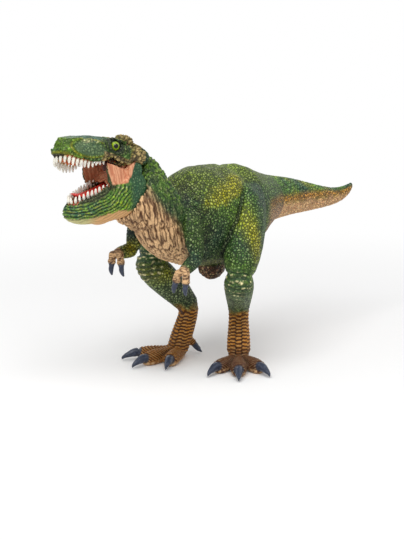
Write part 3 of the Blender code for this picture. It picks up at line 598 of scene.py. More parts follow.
lift = (flank_folds - 0.6) * 0.8 * fold_share * (1 - chest) + (chest_folds - 0.6) * 0.75 * chest
lift += noise_at(at, 9, 2) * 0.25 - HIP_CREASE_DEPTH * hip_crease
add_coat(rows, weight, coat, lift, 1.0 - 0.75 * chest)

# Tail: one moulding with a hidden peg, green on top and pinkish tan below, with a line of ochre between
# and rows of pebble scales.
rows, weight, at = rows_of("tail")
x, y, z = at.T
up = skin_normals[rows, 2]
coat = green_coat(at, 1)
coat = blended(coat, OLIVE, 0.35 * ramp(0.0, 0.5, noise_at(at, 9, 5)))
under = tail_under(at, up)
rings = folds_at(at, (1, 0, 0.3), 1.9, 22, 8)
coat = blended(coat, OCHRE, 0.85 * near(above_tail_line(at), 2.0, 4.5) * ramp(0.8, 0.3, up))
coat = blended(coat, PINK_TAN, under)
coat = coat * (1.1 + 1.0 * rings)[:, None]
add_coat(rows, weight, coat, (rings - 0.6) * 0.3, 1.0 - 0.3 * under)

# Neck: one moulding from the skull down into the breast. Its nape is green with pale flecks, and its
# throat is tan and hangs in deep upright folds that a dark wash picks out.
rows, weight, at = rows_of("neck")
x, y, z = at.T
chest = chest_share(at)
back = ramp(6, 26, y + 91 + 0.75 * (z - 100))
folds = throat_folds(at)
deep = folds_at(at, (-0.05, 0.4, -1), 3.6, 24, 16, 0.3)
coat = blended(green_coat(at, 1), TEAL, 0.7 * (1 - back))
coat = blended(coat, CREAM * 0.55, 0.4 * ramp(0.75, 1, folds) * ramp(-0.1, 0.4, noise_at(at, 4, 17)))
coat = blended(coat, TEAL * 0.25, 0.9 * (1 - folds * (0.4 + 0.6 * deep)))
throat_coat = blended(BROWN, TAN, folds * (0.5 + 0.5 * deep))
coat = blended(coat, throat_coat, chest)
knobs = cells_at(at, (2.6, 3.2, 2.6), 18)
nape = back * ramp(96, 106, z)
coat = blended(coat, GRASS, 0.7 * nape * ramp(0.15, 0.5, knobs))
flecks = ramp(0.3, 0.5, noise_at(at, 2.2, 15)) * ramp(0.2, 0.5, knobs)
coat = blended(coat, CREAM, 0.8 * flecks * nape)
lift = (folds - 0.6) * (0.55 + 0.3 * chest) * (1 - 0.5 * nape) + (deep - 0.6) * 0.7 * (1 - nape)
lift += nape * (0.6 + (ramp(0.05, 0.4, knobs) - 0.5) * 0.8)
add_coat(rows, weight, coat, lift, 0.55 - 0.4 * chest)

# Head: the skull's moulding, painted grass green on the snout, with bony tan plates over and behind the
# eye and along the cheek, a smooth dark hollow in front of the eye and a pale ridge along the top of the
# snout.
BONE = colour(188, 164, 108)
BONE_OLIVE = colour(134, 124, 60)
BONE_DARK = colour(54, 42, 26)
DARK_GREEN = colour(20, 38, 16)
HOLLOW_GREEN = colour(104, 128, 84)
SNOUT_TOP = colour(98, 134, 114)
EYE_CENTRE = (10.3, 14.9, 10.1)
EYE_RADIUS = 2.55
LID_MIDDLE = (14.5, 10.2)
LID_REACH = (8.6, 4.0)
LID_FOLD_SPACING = 1.7
HOLLOW_MIDDLE = (29.0, 6.2)
HOLLOW_REACH = (9.6, 4.3)
HOLLOW_TILT = 0.06
UPPER_LIP = ((16, 0.6), (25, -2.7), (33, -0.8), (41, 1.8))

rows, weight, at = rows_of("head")
x, y, z = at.T
aside, ahead, rise = in_frame(at, head_turn)
rise = rise + leaned(aside, ahead, rise)
side = np.abs(aside)
upward = skin_normals[rows] @ head_up
warped = at + 0.9 * noise_at(at, 2.6, 23)[:, None] + 0.5 * noise_at(at, 1.2, 30)[:, None] * (1, -1, 1)
plates = cells_at(warped, (1.7, 2.6, 1.9), 21)
plate_share = ramp(0.02, 0.36, plates)
behind_eye = ramp(8, 5, ahead) * ramp(-4, 0, rise) * ramp(-6.5, -3.5, ahead)
cheek = ramp(23, 19, ahead) * ramp(6.6, 5.4, rise - 0.1 * (ahead - 15)) * ramp(6, 9, side)
crest = ramp(13.4, 14.4, rise) * ramp(21, 17, ahead) * ramp(-6.5, -3.5, ahead)
bony = np.clip(np.maximum(np.maximum(behind_eye, cheek), crest), 0, 1)
bony = ramp(0.35, 0.7, bony + 0.25 * noise_at(at, 3, 22))
eye_away = np.hypot(ahead - EYE_CENTRE[1], rise - EYE_CENTRE[2])
lid_away = np.hypot((ahead - LID_MIDDLE[0]) / LID_REACH[0], (rise - LID_MIDDLE[1]) / LID_REACH[1])
lids = ramp(1.15, 0.8, lid_away) * ramp(5, 7, side)
bony = bony * (1 - lids)
from_hollow = ahead - HOLLOW_MIDDLE[0]
hollow_rise = rise - HOLLOW_MIDDLE[1] + HOLLOW_TILT * from_hollow
hollow_away = np.hypot(from_hollow / HOLLOW_REACH[0], hollow_rise / HOLLOW_REACH[1])
hollow = ramp(1.0, 0.78, hollow_away) * ramp(4, 6, side)
hollow_rim = near(hollow_away, 1.08, 0.13) * ramp(4, 6, side) * ramp(-0.6, 0.2, ahead - 20)
ridge = near(upward, 0.72, 0.17) * ramp(40, 36, ahead) * ramp(15, 18, ahead) * ramp(8, 10, rise)
rough = folds_at(at, (0.3, 1, 0.2), 1.5, 5, 24)
grassy = ramp(20, 34, ahead) * 0.7 * ramp(-0.3, 0.3, noise_at(at, 4, 27))
coat = blended(green_coat(at, 20), GRASS, grassy)
coat = blended(coat, SNOUT_TOP, ramp(0.72, 0.9, upward) * ramp(16, 22, ahead))
coat = coat * (0.30 + 0.70 * rough)[:, None]
coat = blended(coat, blended(HOLLOW_GREEN, TEAL, 0.3 + 0.5 * noise_at(at, 1.2, 28)), hollow)
coat = blended(coat, OLIVE, 0.5 * hollow_rim)
coat = blended(coat, CREAM, 0.75 * ridge * ramp(-0.3, 0.3, noise_at(at, 1.1, 29)))
lid_folds = 0.5 + 0.5 * np.cos(2 * pi * (eye_away + 0.5 * noise_at(at, 2.5, 26)) / LID_FOLD_SPACING)
coat = blended(coat, DARK_GREEN, 0.97 * lids)
coat = blended(coat, GRASS * 0.8, 0.4 * lids * ramp(0.5, 1, lid_folds) * ramp(3.2, 4.6, eye_away))
socket = ramp(EYE_RADIUS + 0.9, EYE_RADIUS + 0.1, eye_away) * ramp(6, 8, side)
coat = blended(coat, DARK_GREEN * 0.5, socket)
bone_coat = blended(BONE, BONE_OLIVE, ramp(-0.2, 0.3, noise_at(at, 2.4, 25)))
bone_coat = blended(BONE_DARK, bone_coat, plate_share)
coat = blended(coat, bone_coat, bony)
lip_height = np.interp(ahead, *np.array(UPPER_LIP).T)
lip = near(rise, lip_height, 1.3) * ramp(16, 20, ahead)
lip_edge = ramp(0.2, -0.9, rise - lip_height) * ramp(15, 20, ahead)
coat = blended(coat, OLIVE, 0.55 * lip)
coat = blended(coat, BONE_DARK * 0.6, lip_edge)
lift = bony * (plate_share - 0.5) * 0.75 + (rough - 0.6) * 0.4 * (1 - bony) * (1 - hollow) * (1 - lids)
lid_roll = near(eye_away, EYE_RADIUS + 1.0, 1.1) * ramp(5, 7, side)
lift += -0.9 * hollow + 0.95 * lid_roll + 0.25 * hollow_rim + 0.45 * ridge + 0.35 * lip
lift += 0.3 * lids * (lid_folds - 0.5)
lift += 0.6 * near(rise, 13.4, 1.5) * ramp(19, 16, ahead) * ramp(8, 11, ahead) * ramp(6, 8, side)
add_coat(rows, weight, coat, lift, 0.4 * (1 - bony) + 0.2)

# Hind legs: thigh, shank, foot and spur in one moulding each. The thigh is pebbled green with an olive
# flank, the knee is ringed with pale flecks, and below the shank the skin turns to ochre scutes, edged
# dark, across the foot.
SCUTE_SPACING = 1.9
KNEE_RING_SPACING = 3.0
ANKLE_REACH = 6.0
FOOT_DARK = colour(70, 40, 28)
SHANK_GREY = colour(128, 142, 106)
CLAW_SLATE = colour(56, 62, 78)
CLAW_EDGE = colour(30, 30, 38)


def add_claws(node, rows, at, coat, lift):
    """Paints a limb's claws slate, with a dark seam and a raised sheath of skin round the root of each."""
    claw = np.zeros(len(at))
    for middle, radii in claws_of(node):
        away = np.full(len(at), 99.0)
        for point, radius in zip(middle[3:], radii[3:]):
            away = np.minimum(away, np.linalg.norm(at - point, axis=1) - radius)
        claw = np.maximum(claw, ramp(0.75, 0.35, away))
        sheath = near(away, 1.5, 0.9)
        lift += 0.35 * sheath
        coat = blended(coat, CLAW_EDGE, 0.8 * near(away, 0.7, 0.5))
    streaks = noise_at(at, (0.8, 3.0, 1.4), 37)
    slate = blended(CLAW_SLATE, CLAW_SLATE * 2.0, ramp(0, 0.5, streaks) * 0.5)
    glossy[rows] = np.maximum(glossy[rows], claw)
    return blended(coat, slate, claw), lift, claw


for node, stance in LEG_STANCES.items():
    rows, weight, at = rows_of(node)
    x, y, z = at.T
    hip, knee, hock, instep, toes = leg_joints(stance)
    foot = ramp(33, 27, z + 2.5 * noise_at(at, 5, 33))
    coat = green_coat(at, 1)
    outer = stance[0] * (x - hip[0])
    flank = near(z, 78, 26) * ramp(3, 9, outer) * near(y, knee[1] + 10, 9)
    calf = near(z, 52, 11) * ramp(0, -6, y - (knee[1] + hock[1]) / 2)
    coat = blended(coat, OLIVE, np.clip(flank + (0.7 if stance[0] < 0 else 0.1) * calf, 0, 1) * 0.9)
    coat = blended(coat, TEAL, 0.7 * near(z, 84, 22) * ramp(knee[1] + 6, knee[1] - 3, y))
    knee_away = np.linalg.norm((at - knee - (0, -3, -3.5)) * (1, 1, 1.4), axis=1)
    ring_place = z + 1.3 * noise_at(at, 4, 31) + 0.15 * np.abs(outer)
    rings = 0.5 + 0.5 * np.cos(2 * pi * ring_place / KNEE_RING_SPACING)
    knee_share = ramp(17, 11, knee_away) * ramp(-1, 5, knee[1] + 6 - y)
    spots = ramp(0.12, 0.3, cells_at(at, (2.6, 2.6, 3.2), 32)) * ramp(-0.2, 0.0, noise_at(at, 3.4, 35))
    coat = blended(coat, TEAL * 0.7, 0.8 * knee_share * (1 - 0.5 * rings))
    coat = blended(coat, CREAM * 1.4, 0.95 * spots * ramp(0.6, 0.9, rings) * ramp(0.3, 0.8, knee_share))
    coat = blended(coat, SHANK_GREY, 0.75 * near(z, 39, 14))
    wrinkles = folds_at(at, (1, 0.3, 0), 1.7, 12, 34)
    hock_share = near(z, 33, 8)
    coat = coat * (1 - 0.6 * (1 - wrinkles) * np.clip(hock_share + knee_share, 0, 1))[:, None]
    reach = np.hypot(x - instep[0], y - instep[1])
    climb = np.clip((z - instep[2]) / (hock[2] - instep[2]), 0, 1)[:, None]
    axis = instep[:2] + climb * (hock - instep)[:2]
    heading = np.arctan2(x - axis[:, 0], -(y - axis[:, 1]))
    axis_reach = np.linalg.norm(at[:, :2] - axis, axis=1)
    toe_turn = np.arctan2(toes[1][0], -toes[1][1])
    turn = (heading - toe_turn + pi) % (2 * pi) - pi
    column = turn / radians(TOE_SPREAD)
    between_toes = near(np.abs(column), 0.5, 0.16) * ramp(2.2, 1.2, np.abs(column)) * ramp(3, 7, z)
    between_toes = between_toes * ramp(30, 20, z) * ramp(2, 4.5, axis_reach)
    place = np.maximum(axis_reach - ANKLE_REACH, 0) - z
    place = place + 0.6 * (np.round(column) % 2) + 0.45 * noise_at(at, 3, 36)
    pads = ramp(3.6, 2.0, z)
    light = ramp(-0.2, 0.4, noise_at(at, 6, 38))
    coat = blended(coat, blended(OCHRE, OCHRE * 0.78, light), foot)
    toe_dark = ramp(3, 9, reach) * ramp(14, 8, z) * (1.0 if stance[0] > 0 else 0.5)
    coat = blended(coat, FOOT_DARK * 1.4, 0.9 * toe_dark)
    coat = blended(coat, TAN * 0.75, pads * ramp(-0.3, 0.2, noise_at(at, 2, 39)))
    coat = blended(coat, FOOT_DARK * 0.7, 0.85 * between_toes)
    lift = (rings - 0.5) * 0.55 * knee_share + (wrinkles - 0.6) * 0.35 * hock_share
    scutes = 0.5 + 0.5 * np.cos(2 * pi * place / SCUTE_SPACING)
    lift += foot * (1 - pads) * (scutes - 0.6) * 0.42 - 0.8 * between_toes
    hip_crease = hip_seam(rows)
    # Painted shade: the crease between thigh and flank is painted dark teal.
    coat = blended(coat, TEAL * 0.4, 0.7 * hip_crease)
    lift -= HIP_CREASE_DEPTH * hip_crease
    coat, lift, claw = add_claws(node, rows, at, coat, lift)
    foot = foot * (1 - claw)
    pebbles = (1 - foot) * (1 - claw) * (1 - 0.6 * knee_share)
    add_coat(rows, weight, coat, lift * (1 - claw), pebbles, foot * (1 - pads) * (1 - 0.3 * toe_dark), place)

# Forelimbs: arm, two fingers and claws in one moulding each, green down to the elbow and tan brown at the
# hand.
for node, seed in (("left_arm", 40), ("right_arm", 44)):
    rows, weight, at = rows_of(node)
    x, y, z = at.T
    elbow, wrist = np.array(ELBOWS[node]), np.array(WRISTS[node])
    along = (at - elbow) @ unit(wrist - elbow)
    hand = ramp(11.0, 13.5, along + 0.8 * noise_at(at, 3, seed + 3))
    hand = np.maximum(hand, ramp(65, 62.5, z))
    coat = green_coat(at, 1) * 0.75
    fore = near(along, 5, 9) * ramp(elbow[2] + 9, elbow[2] + 2, z)
    coat = blended(coat, TEAL if node == "left_arm" else OLIVE, 0.8 * fore)
    if node == "right_arm":
        coat = blended(coat, TEAL * 0.6, ramp(elbow[2] + 4, elbow[2] + 12, z))
    folds = folds_at(at, (1, 0.2, 0), 1.1, 10, seed + 2, 0.25)
    hand_coat = blended(FOOT_DARK, TAN * 0.85, folds)
    coat = blended(coat * (0.55 + 0.45 * folds)[:, None], hand_coat, hand)
    coat, lift, claw = add_claws(node, rows, at, coat, (folds - 0.6) * 0.32)
    add_coat(rows, weight, coat, lift * (1 - claw), (0.8 * (1 - hand) + 0.1) * (1 - claw))


class Nodes:
    """Makes and wires the nodes of one tree. An input is a value, or another node's output, to link to."""

    def __init__(self, tree):
        self.tree = tree

    def feed(self, node, inputs):
        for key, value in inputs.items():
            if isinstance(value, bpy.types.NodeSocket):
                self.tree.links.new(value, node.inputs[key])
            else:
                node.inputs[key].default_value = value
        return node.outputs

    def add(self, kind, inputs, **settings):
        node = self.tree.nodes.new(kind)
        for key, value in settings.items():
            setattr(node, key, value)
        return self.feed(node, inputs)

    def maths(self, operation, *values):
        return self.add("ShaderNodeMath", dict(enumerate(values)), operation=operation)[0]

    def product(self, first, *others):
        for other in others:
            first = self.maths("MULTIPLY", first, other)
        return first

    def attribute(self, name, output="Fac"):
        return self.add("ShaderNodeAttribute", {}, attribute_name=name)[output]

    def place(self):
        return self.add("ShaderNodeTexCoord", {})["Object"]

    def noise(self, scale, detail):
        inputs = {"Vector": self.place(), "Scale": scale, "Detail": detail}
        return self.add("ShaderNodeTexNoise", inputs)["Fac"]

    def ranged(self, value, low=0.0, high=1.0, least=0.0, most=1.0, kind="LINEAR"):
        inputs = {"Value": value, "From Min": low, "From Max": high, "To Min": least, "To Max": most}
        return self.add("ShaderNodeMapRange", inputs, interpolation_type=kind)["Result"]

    def spread(self, value, low, high):
        return self.ranged(value, low, high, kind="SMOOTHSTEP")

    def mix(self, kind, factor, first, second):
        inputs = {0: factor, 6: first, 7: second}
        return self.add("ShaderNodeMix", inputs, data_type="RGBA", blend_type=kind)[2]

    def bump(self, height, depth, strength):
        inputs = {"Height": height, "Distance": depth * MM, "Strength": strength}
        return self.add("ShaderNodeBump", inputs)["Normal"]


def new_material(name, finish):
    """A material, whose Principled inputs are those that finish, a function of its nodes, gives back."""
    made = bpy.data.materials.new(name)
    made.use_nodes = True
    nodes = Nodes(made.node_tree)
    nodes.feed(made.node_tree.nodes["Principled BSDF"], finish(nodes))
    return made


PEBBLE_SCALE = 620
GRAIN_SCALE = 900
STREAK_SCALE = 260
CREASE_WASH = (0.10, 0.13, 0.12, 1)
# Colour of the pebble tops: pale dry-brush paint that also serves as painted highlight.
PEBBLE_TOP_DRYBRUSH_AND_HIGHLIGHT = (0.30, 0.33, 0.17, 1)
HIDE_BUMP = 0.36


def hide_finish(nodes):
    """Painted soft plastic: the airbrushed coat, a dark wash in the creases between scales and bands, and pale
    dry-brush on the pebble tops that also serves as painted highlight.
    """
    scales = nodes.attribute("scaly")
    bands = nodes.attribute("banded")
    inputs = {"Vector": nodes.place(), "Scale": PEBBLE_SCALE, "Randomness": 0.9}
    cells = nodes.add("ShaderNodeTexVoronoi", inputs, feature="DISTANCE_TO_EDGE")
    pebble = nodes.spread(cells["Distance"], 0.03, 0.3)
    crease = nodes.product(nodes.maths("SUBTRACT", 1.0, pebble), scales)
    grain = nodes.noise(GRAIN_SCALE, 3)
    wander = nodes.product(nodes.maths("SUBTRACT", nodes.noise(STREAK_SCALE, 2), 0.5), 1.6)
    phase = nodes.product(nodes.attribute("band_place"), 2 * pi / SCUTE_SPACING)
    wave = nodes.maths("COSINE", nodes.maths("ADD", phase, wander))
    groove = nodes.product(nodes.spread(wave, 0.1, -0.5), bands)
    shine = nodes.product(nodes.spread(wave, 0.62, 0.98), nodes.product(bands, 0.34))

    washed = nodes.mix("MULTIPLY", nodes.product(crease, 0.95), nodes.attribute("paint", "Color"), CREASE_WASH)
    washed = nodes.mix("MIX", nodes.product(groove, 0.92), washed, (*FOOT_DARK * 0.55, 1))
    washed = nodes.mix("MIX", nodes.product(shine, nodes.spread(grain, 0.4, 0.6)), washed, (*CREAM, 1))
    pebbled = nodes.product(pebble, scales)
    # Pale pebble tops: dry-brush paint, laid on strongly and kept neutral as painted highlight.
    drybrush_and_highlight = nodes.product(nodes.spread(grain, 0.44, 0.66), nodes.product(pebbled, 0.8))
    rough = nodes.maths("ADD", nodes.product(grain, 0.25), 0.38)
    relief = nodes.maths("ADD", nodes.maths("SUBTRACT", pebbled, groove), nodes.product(grain, 0.35))
    return {"Base Color": nodes.mix("ADD", drybrush_and_highlight, washed, PEBBLE_TOP_DRYBRUSH_AND_HIGHLIGHT),
            "Roughness": nodes.maths("SUBTRACT", rough, nodes.product(nodes.attribute("glossy"), 0.28)),
            "Specular IOR Level": 0.26, "Normal": nodes.bump(relief, HIDE_BUMP, 0.8)}


PAINTED_HIDE = new_material("painted_hide", hide_finish)


def with_attributes(mesh, values):
    """Stores named values at the vertices: colours where a value has three parts, or else plain numbers."""
    for name, value in values.items():
        if value.ndim == 2:
            layer = mesh.attributes.new(name, "FLOAT_COLOR", "POINT")
            layer.data.foreach_set("color", np.c_[value, np.ones(len(value))].astype(np.float32).ravel())
        else:
            layer = mesh.attributes.new(name, "FLOAT", "POINT")
            layer.data.foreach_set("value", value.astype(np.float32))


def closed_cut(name, mesh, faces_kept):
    """A closed mesh from some faces of a skin: each rim is drawn together at a point inside."""
    work = bmesh.new()
    work.from_mesh(mesh)
    work.faces.ensure_lookup_table()
    unwanted = [work.faces[i] for i in np.nonzero(~faces_kept)[0]]
    bmesh.ops.delete(work, geom=unwanted, context="FACES")
    rim = [edge for edge in work.edges if len(edge.link_faces) == 1]
    waiting = set(rim)
    while waiting:
        start = waiting.pop()
        loop, stack = [start], [start]
        while stack:
            for vertex in stack.pop().verts:
                for edge in vertex.link_edges:
                    if edge in waiting:
                        waiting.discard(edge)
                        loop.append(edge)
                        stack.append(edge)
        middle = work.verts.new(sum((edge.verts[0].co for edge in loop), Vector()) / len(loop))
        for edge in loop:
            face = edge.link_faces[0]
            corner = next(c for c in face.loops if c.edge == edge)
            made = work.faces.new((corner.link_loop_next.vert, corner.vert, middle))
            made.smooth = True
            edge.smooth = False
    made = bpy.data.meshes.new(name)
    work.to_mesh(made)
    work.free()
    return made


# The finished hide: the relief goes into the skin, and each moulding is cut out of it and closed inside.
box_low, box_high = (np.array(corner) / MM for corner in cad_box)
skin = skin + skin_normals * height[:, None]
skin = np.clip(skin, box_low + 0.01, box_high - 0.01)
set_points(hide_mesh, skin)
with_attributes(hide_mesh, {"paint": np.clip(paint, 0, 1), "scaly": scaly, "banded": banded,
                            "band_place": band_place, "glossy": glossy})
vertex_owner = share.argmax(1)
corner_owner = np.empty(len(hide_mesh.loops), int)
hide_mesh.loops.foreach_get("vertex_index", corner_owner)
face_start = np.empty(len(hide_mesh.polygons), int)
hide_mesh.polygons.foreach_get("loop_start", face_start)
face_owner = vertex_owner[corner_owner[face_start]]
hide_mesh.shade_smooth()
for number, node in enumerate(HIDE_NODES):
    piece = new_object(node + "_skin", closed_cut(node + "_skin", hide_mesh, face_owner == number))
    piece.data.materials.append(PAINTED_HIDE)
    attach(piece, "figure")
    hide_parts(node)
bpy.data.meshes.remove(hide_mesh)

# Lower jaw: one moulding with two ears that turn on the cross pin, and with the skin of the cheeks as
# pink fans that slide up inside the skull. Long wrinkles run round the corner of the mouth, and the chin
# is pale below.
JAW_STEP = 0.4
JAW_SWELL = 0.2
JAW_PASSES = 12
PIN_RADIUS = 1.5
PIN_LENGTH = 24.0
EAR_OUTSIDE = 13.2
EAR_CAP = 1.0
FOLD_CENTRE = (26.0, 2.2)
FOLD_SPACING = 1.6
CHEEK_EDGE = ((-3, 7), (0.6, 2.6), (3.0, -1.4), (5.6, -4.7), (8, -4.6), (14.4, -3.4), (15.6, 3), (20, 9))
OLD_LIP = ((12.8, -5.4), (16.6, -6.1), (27.9, -7.8), (35.2, -8.3), (41.9, -6.5))
LIP_RAISE = ((8, 0), (12.8, 1.1), (16.6, 1.5), (27.9, 1.7), (35.2, 1.6), (40, 0.4))
# Lower edge of the painted shadow under the lower teeth.
SHADOW_STRIP_EDGE = ((8, -5.4), (15.4, -5.6), (20.3, -8.2), (26.6, -9.1), (33.6, -8.2), (38, -7.1))
CHIN_EDGE = ((-5.5, -20.3), (-1.5, -21), (4.7, -20.9), (14.4, -17.1), (22.4, -17.4), (28.5, -17.3),
             (44, -14.4))
PINK = colour(226, 164, 126)
PINK_DEEP = colour(176, 92, 62)
CHIN_PALE = colour(196, 190, 132)
CHIN_TAN = colour(214, 166, 112)
# Colour of the painted shadow under the lower teeth.
SHADOW_STRIP_DARK = colour(56, 56, 40)


def along_line(line, ahead):
    return np.interp(ahead, *np.array(line, float).T)


def fill_ears(work):
    """Closes the ends of the bore, so that the pin doesn't show."""
    for side in (-1, 1):
        centre = placed((side * (EAR_OUTSIDE - EAR_CAP / 2), 0, 0), jaw_turn)
        place = Matrix.Translation(Vector(centre * MM)) @ jaw_turn.to_4x4() @ Matrix.Rotation(pi / 2, 4, "Y")
        bmesh.ops.create_cone(work, cap_ends=True, segments=32, radius1=1.4 * PIN_RADIUS * MM,
                              radius2=1.4 * PIN_RADIUS * MM, depth=EAR_CAP * MM, matrix=place)


def make_jaw():
    mesh = remeshed("lower_jaw_skin", ("lower_jaw",), JAW_STEP, JAW_SWELL, fill_ears)
    at, edges = arrays_of(mesh)
    at = relaxed(at - normals_of(mesh) * JAW_SWELL, edges, JAW_PASSES, 0.9)
    aside, ahead, rise = in_frame(at, jaw_turn)
    lip = along_line(OLD_LIP, ahead)
    raised = along_line(LIP_RAISE, ahead) * ramp(lip - 2.6, lip - 0.4, rise) * ramp(-1, 3, aside)
    at = at + raised[:, None] * jaw_up
    set_points(mesh, at)
    normals = normals_of(mesh)
    aside, ahead, rise = in_frame(at, jaw_turn)
    outward = (normals @ jaw_aside) * np.sign(aside)
    upward = normals @ jaw_up
    stretch = np.where(ahead > FOLD_CENTRE[0], 3.0, 1.24)
    fold_place = np.hypot((ahead - FOLD_CENTRE[0]) / stretch, rise - FOLD_CENTRE[1])
    fold_place = fold_place + 1.1 * noise_at(at, 6, 50) + 0.45 * noise_at(at, 2.2, 51)
    rear = ramp(9, 2, ahead)
    wave = np.cos(2 * pi * fold_place / FOLD_SPACING) * (1 - 0.75 * rear)
    grain = noise_at(at, 1.3, 52)
    wrinkles = ramp(-0.9, 0.1, wave + 0.5 * grain)

    pink = ramp(-0.5, 0.5, rise - along_line(CHEEK_EDGE, ahead))
    inner = ramp(0.0, -0.4, outward) * ramp(-8, -6, rise)
    inner = inner * np.maximum(ramp(0.45, 0.2, upward), ramp(16, 14, ahead))
    pink = np.clip(pink + inner, 0, 1)
    lip_top = ramp(14.5, 16, ahead) * ramp(-2.6, -3.6, rise) * ramp(0.1, 0.4, upward)
    near_lip = ramp(15, 16.5, ahead) * ramp(0, 1, aside)
    pink = pink * (1 - np.maximum(lip_top, near_lip))
    coat = blended(green_coat(at, 53), GRASS, 0.7 * ramp(-0.1, 0.5, grain + 0.4 * noise_at(at, 8, 54)))
    coat = blended(coat, TEAL, rear * (0.8 + 0.15 * grain))
    coat = coat * (0.3 + 1.15 * wrinkles * (1 - 0.4 * rear) + 0.2 * rear)[:, None]
    crests = ramp(0.35, 1.0, wave) * (1 - rear)
    coat = blended(coat, OLIVE * 1.2, 0.55 * crests * ramp(-0.1, 0.4, noise_at(at, 2.2, 57)))
    pale = near(ahead, 9.5, 7) * near(rise, -8, 8) + 0.35
    coat = blended(coat, CREAM, 0.75 * crests * pale * ramp(0.0, 0.4, noise_at(at, 1.6, 56)))
    # Painted shadow: a dark strip along the jaw just below the lower teeth, also sunk a little.
    shadow_strip = ramp(-0.5, 0.4, rise - along_line(SHADOW_STRIP_EDGE, ahead)) * ramp(10, 14, ahead)
    shadow_strip = shadow_strip * ramp(41, 37, ahead)
    coat = blended(coat, SHADOW_STRIP_DARK * (0.6 + 0.8 * wrinkles)[:, None], 0.9 * shadow_strip)
    chin = ramp(0.9, -0.9, rise - along_line(CHIN_EDGE, ahead) + 0.9 * grain)
    chin = np.maximum(chin, ramp(-0.6, -0.85, upward))
    chin_coat = blended(CHIN_TAN, CHIN_PALE, ramp(24, 34, ahead))
    coat = blended(coat, chin_coat * (0.7 + 0.3 * wrinkles)[:, None], chin)
    cheek_folds = folds_at(at, jaw_up, 1.3, 16, 55, 0.25)
    cheek_coat = blended(PINK_DEEP, PINK, 0.3 + 0.7 * cheek_folds)
    coat = blended(coat, cheek_coat, pink)
    lift = (wrinkles - 0.6) * 0.6 * (1 - pink) * (1 - 0.6 * rear) * (1 - 0.7 * chin)
    lift += pink * (cheek_folds - 0.7) * 0.22 * ramp(0, 0.5, outward) - 0.35 * shadow_strip
    lift += 1.5 * near(ahead, 20, 8) * near(aside, 0, 8) * ramp(-0.4, -0.8, upward)
    set_points(mesh, at + normals * lift[:, None])
    plain = np.zeros(len(at))
    with_attributes(mesh, {"paint": np.clip(coat, 0, 1), "scaly": (1 - pink) * (1 - chin) * 0.45,
                           "banded": plain, "band_place": plain, "glossy": plain})
    mesh.shade_smooth()
    return mesh


jaw_skin = new_object("lower_jaw_skin", make_jaw())
jaw_skin.data.materials.append(PAINTED_HIDE)
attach(jaw_skin, "jaw")
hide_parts("lower_jaw")

# Mouth linings: an upper moulding with palate, gum and throat, glued into the skull, and a lower one
# glued into the jaw. Each carries its row of peg teeth, cast with it and painted white by hand.
PALATE_ROWS = ((42.2, 4.0, 3.6, 0.9), (38.9, 5.9, 5.4, 0.6), (30.9, 7.2, 6.5, -0.2), (24.0, 7.6, 6.8, 0.2),
               (18.3, 7.6, 6.8, 1.2), (12.0, 6.9, 6.8, 1.8), (-3.5, 5.6, 6.5, 2.8))
PALATE_ARCH = 3.4
JAW_GUM_ROWS = ((36.0, 2.8, -8.2, -13.2), (33.4, 4.4, -7.8, -14.2), (26, 6.1, -7.2, -14.8),
                (17.3, 7.6, -5.9, -15.1), (9.5, 8.0, -5.4, -15.1), (5.8, 7.9, -6.2, -14.3))
JAW_TROUGH = 3.6
GUM_WIDTH = 2.9
SECTION_POINTS = 96
SECTIONS = 90
ROUND_POWER = 0.7
UPPER_TOOTH_PATH = ((0.0, 42.2), (2.6, 41.6), (5.0, 39.0), (6.4, 33.8), (7.0, 28.9), (7.6, 22.0), (7.7, 18.0))
LOWER_TOOTH_PATH = ((0.0, 35.8), (1.8, 35.4), (3.4, 33.4), (5.4, 26.0), (7.0, 17.3), (7.5, 11.0))
UPPER_RIM = ((43.0, 0.6), (39.0, 0.3), (32.8, -0.6), (26.2, -0.6), (19.3, 0.9), (12.0, 1.8))
LOWER_RIM = ((36.0, -7.1), (33.4, -7.0), (26.0, -6.3), (17.3, -5.4), (9.5, -5.2))
UPPER_TOOTH_SIZES = ((18.0, 1.4), (22.0, 1.9), (25.5, 2.4), (30.5, 3.2), (36.0, 3.4), (40.0, 3.0), (43.0, 2.7))
LOWER_TOOTH_SIZES = ((11.0, 2.1), (17.0, 2.7), (24.0, 3.1), (30.0, 2.8), (35.8, 2.7))
PALATE_TILT = 0.12
UPPER_TEETH = 13
LOWER_TEETH = 12
TOOTH_LENGTH = 3.4
TOOTH_RADIUS = 0.92
TOOTH_HOOK = 0.55
PATH_STEPS = 60
TOOTH_ROOT = 2.2
TOOTH_LEAN = (0.1, 0.1, 0.3)
TOOTH_WEAR = ((0.9, 0.9, 0.88), (1.04, 1.04, 1.06))
THROAT_RADIUS = 6.5
THROAT_HALF_WIDTH = 9.1
MOUTH_GRAIN = 700
MOUTH_BUMP = 0.05
TOOTH_WHITE = colour(244, 240, 226)
TOOTH_ROOT_TONE = colour(206, 176, 112)
GUM_ORANGE = colour(206, 104, 48)
GUM_RED = colour(218, 84, 66)
THROAT_DARK = colour(74, 18, 10)
WALL_PINK = colour(206, 122, 84)


def shells_mesh(name, shells):
    """One mesh of several closed shells, each given as (points, faces, colours, roughness)."""
    points, faces, colours, roughness = [], [], [], []
    start = 0
    for shell_points, shell_faces, shell_colours, shell_roughness in shells:
        points.append(shell_points)
        faces += [tuple(start + i for i in face) for face in shell_faces]
        colours.append(np.broadcast_to(shell_colours, shell_points.shape))
        roughness.append(np.broadcast_to(shell_roughness, len(shell_points)))
        start += len(shell_points)
    mesh = bpy.data.meshes.new(name)
    mesh.from_pydata((np.concatenate(points) * MM).tolist(), [], faces)
    with_attributes(mesh, {"paint": np.concatenate(colours), "rough": np.concatenate(roughness)})
    mesh.shade_smooth()
    return mesh


def sunk(aside, ahead, rise):
    """How far the palate and its teeth sink towards the right, a little more than the lip does."""
    return leaned(aside, ahead, rise) + PALATE_TILT * (LEAN_FROM - aside) * ramp(17, 26, ahead)


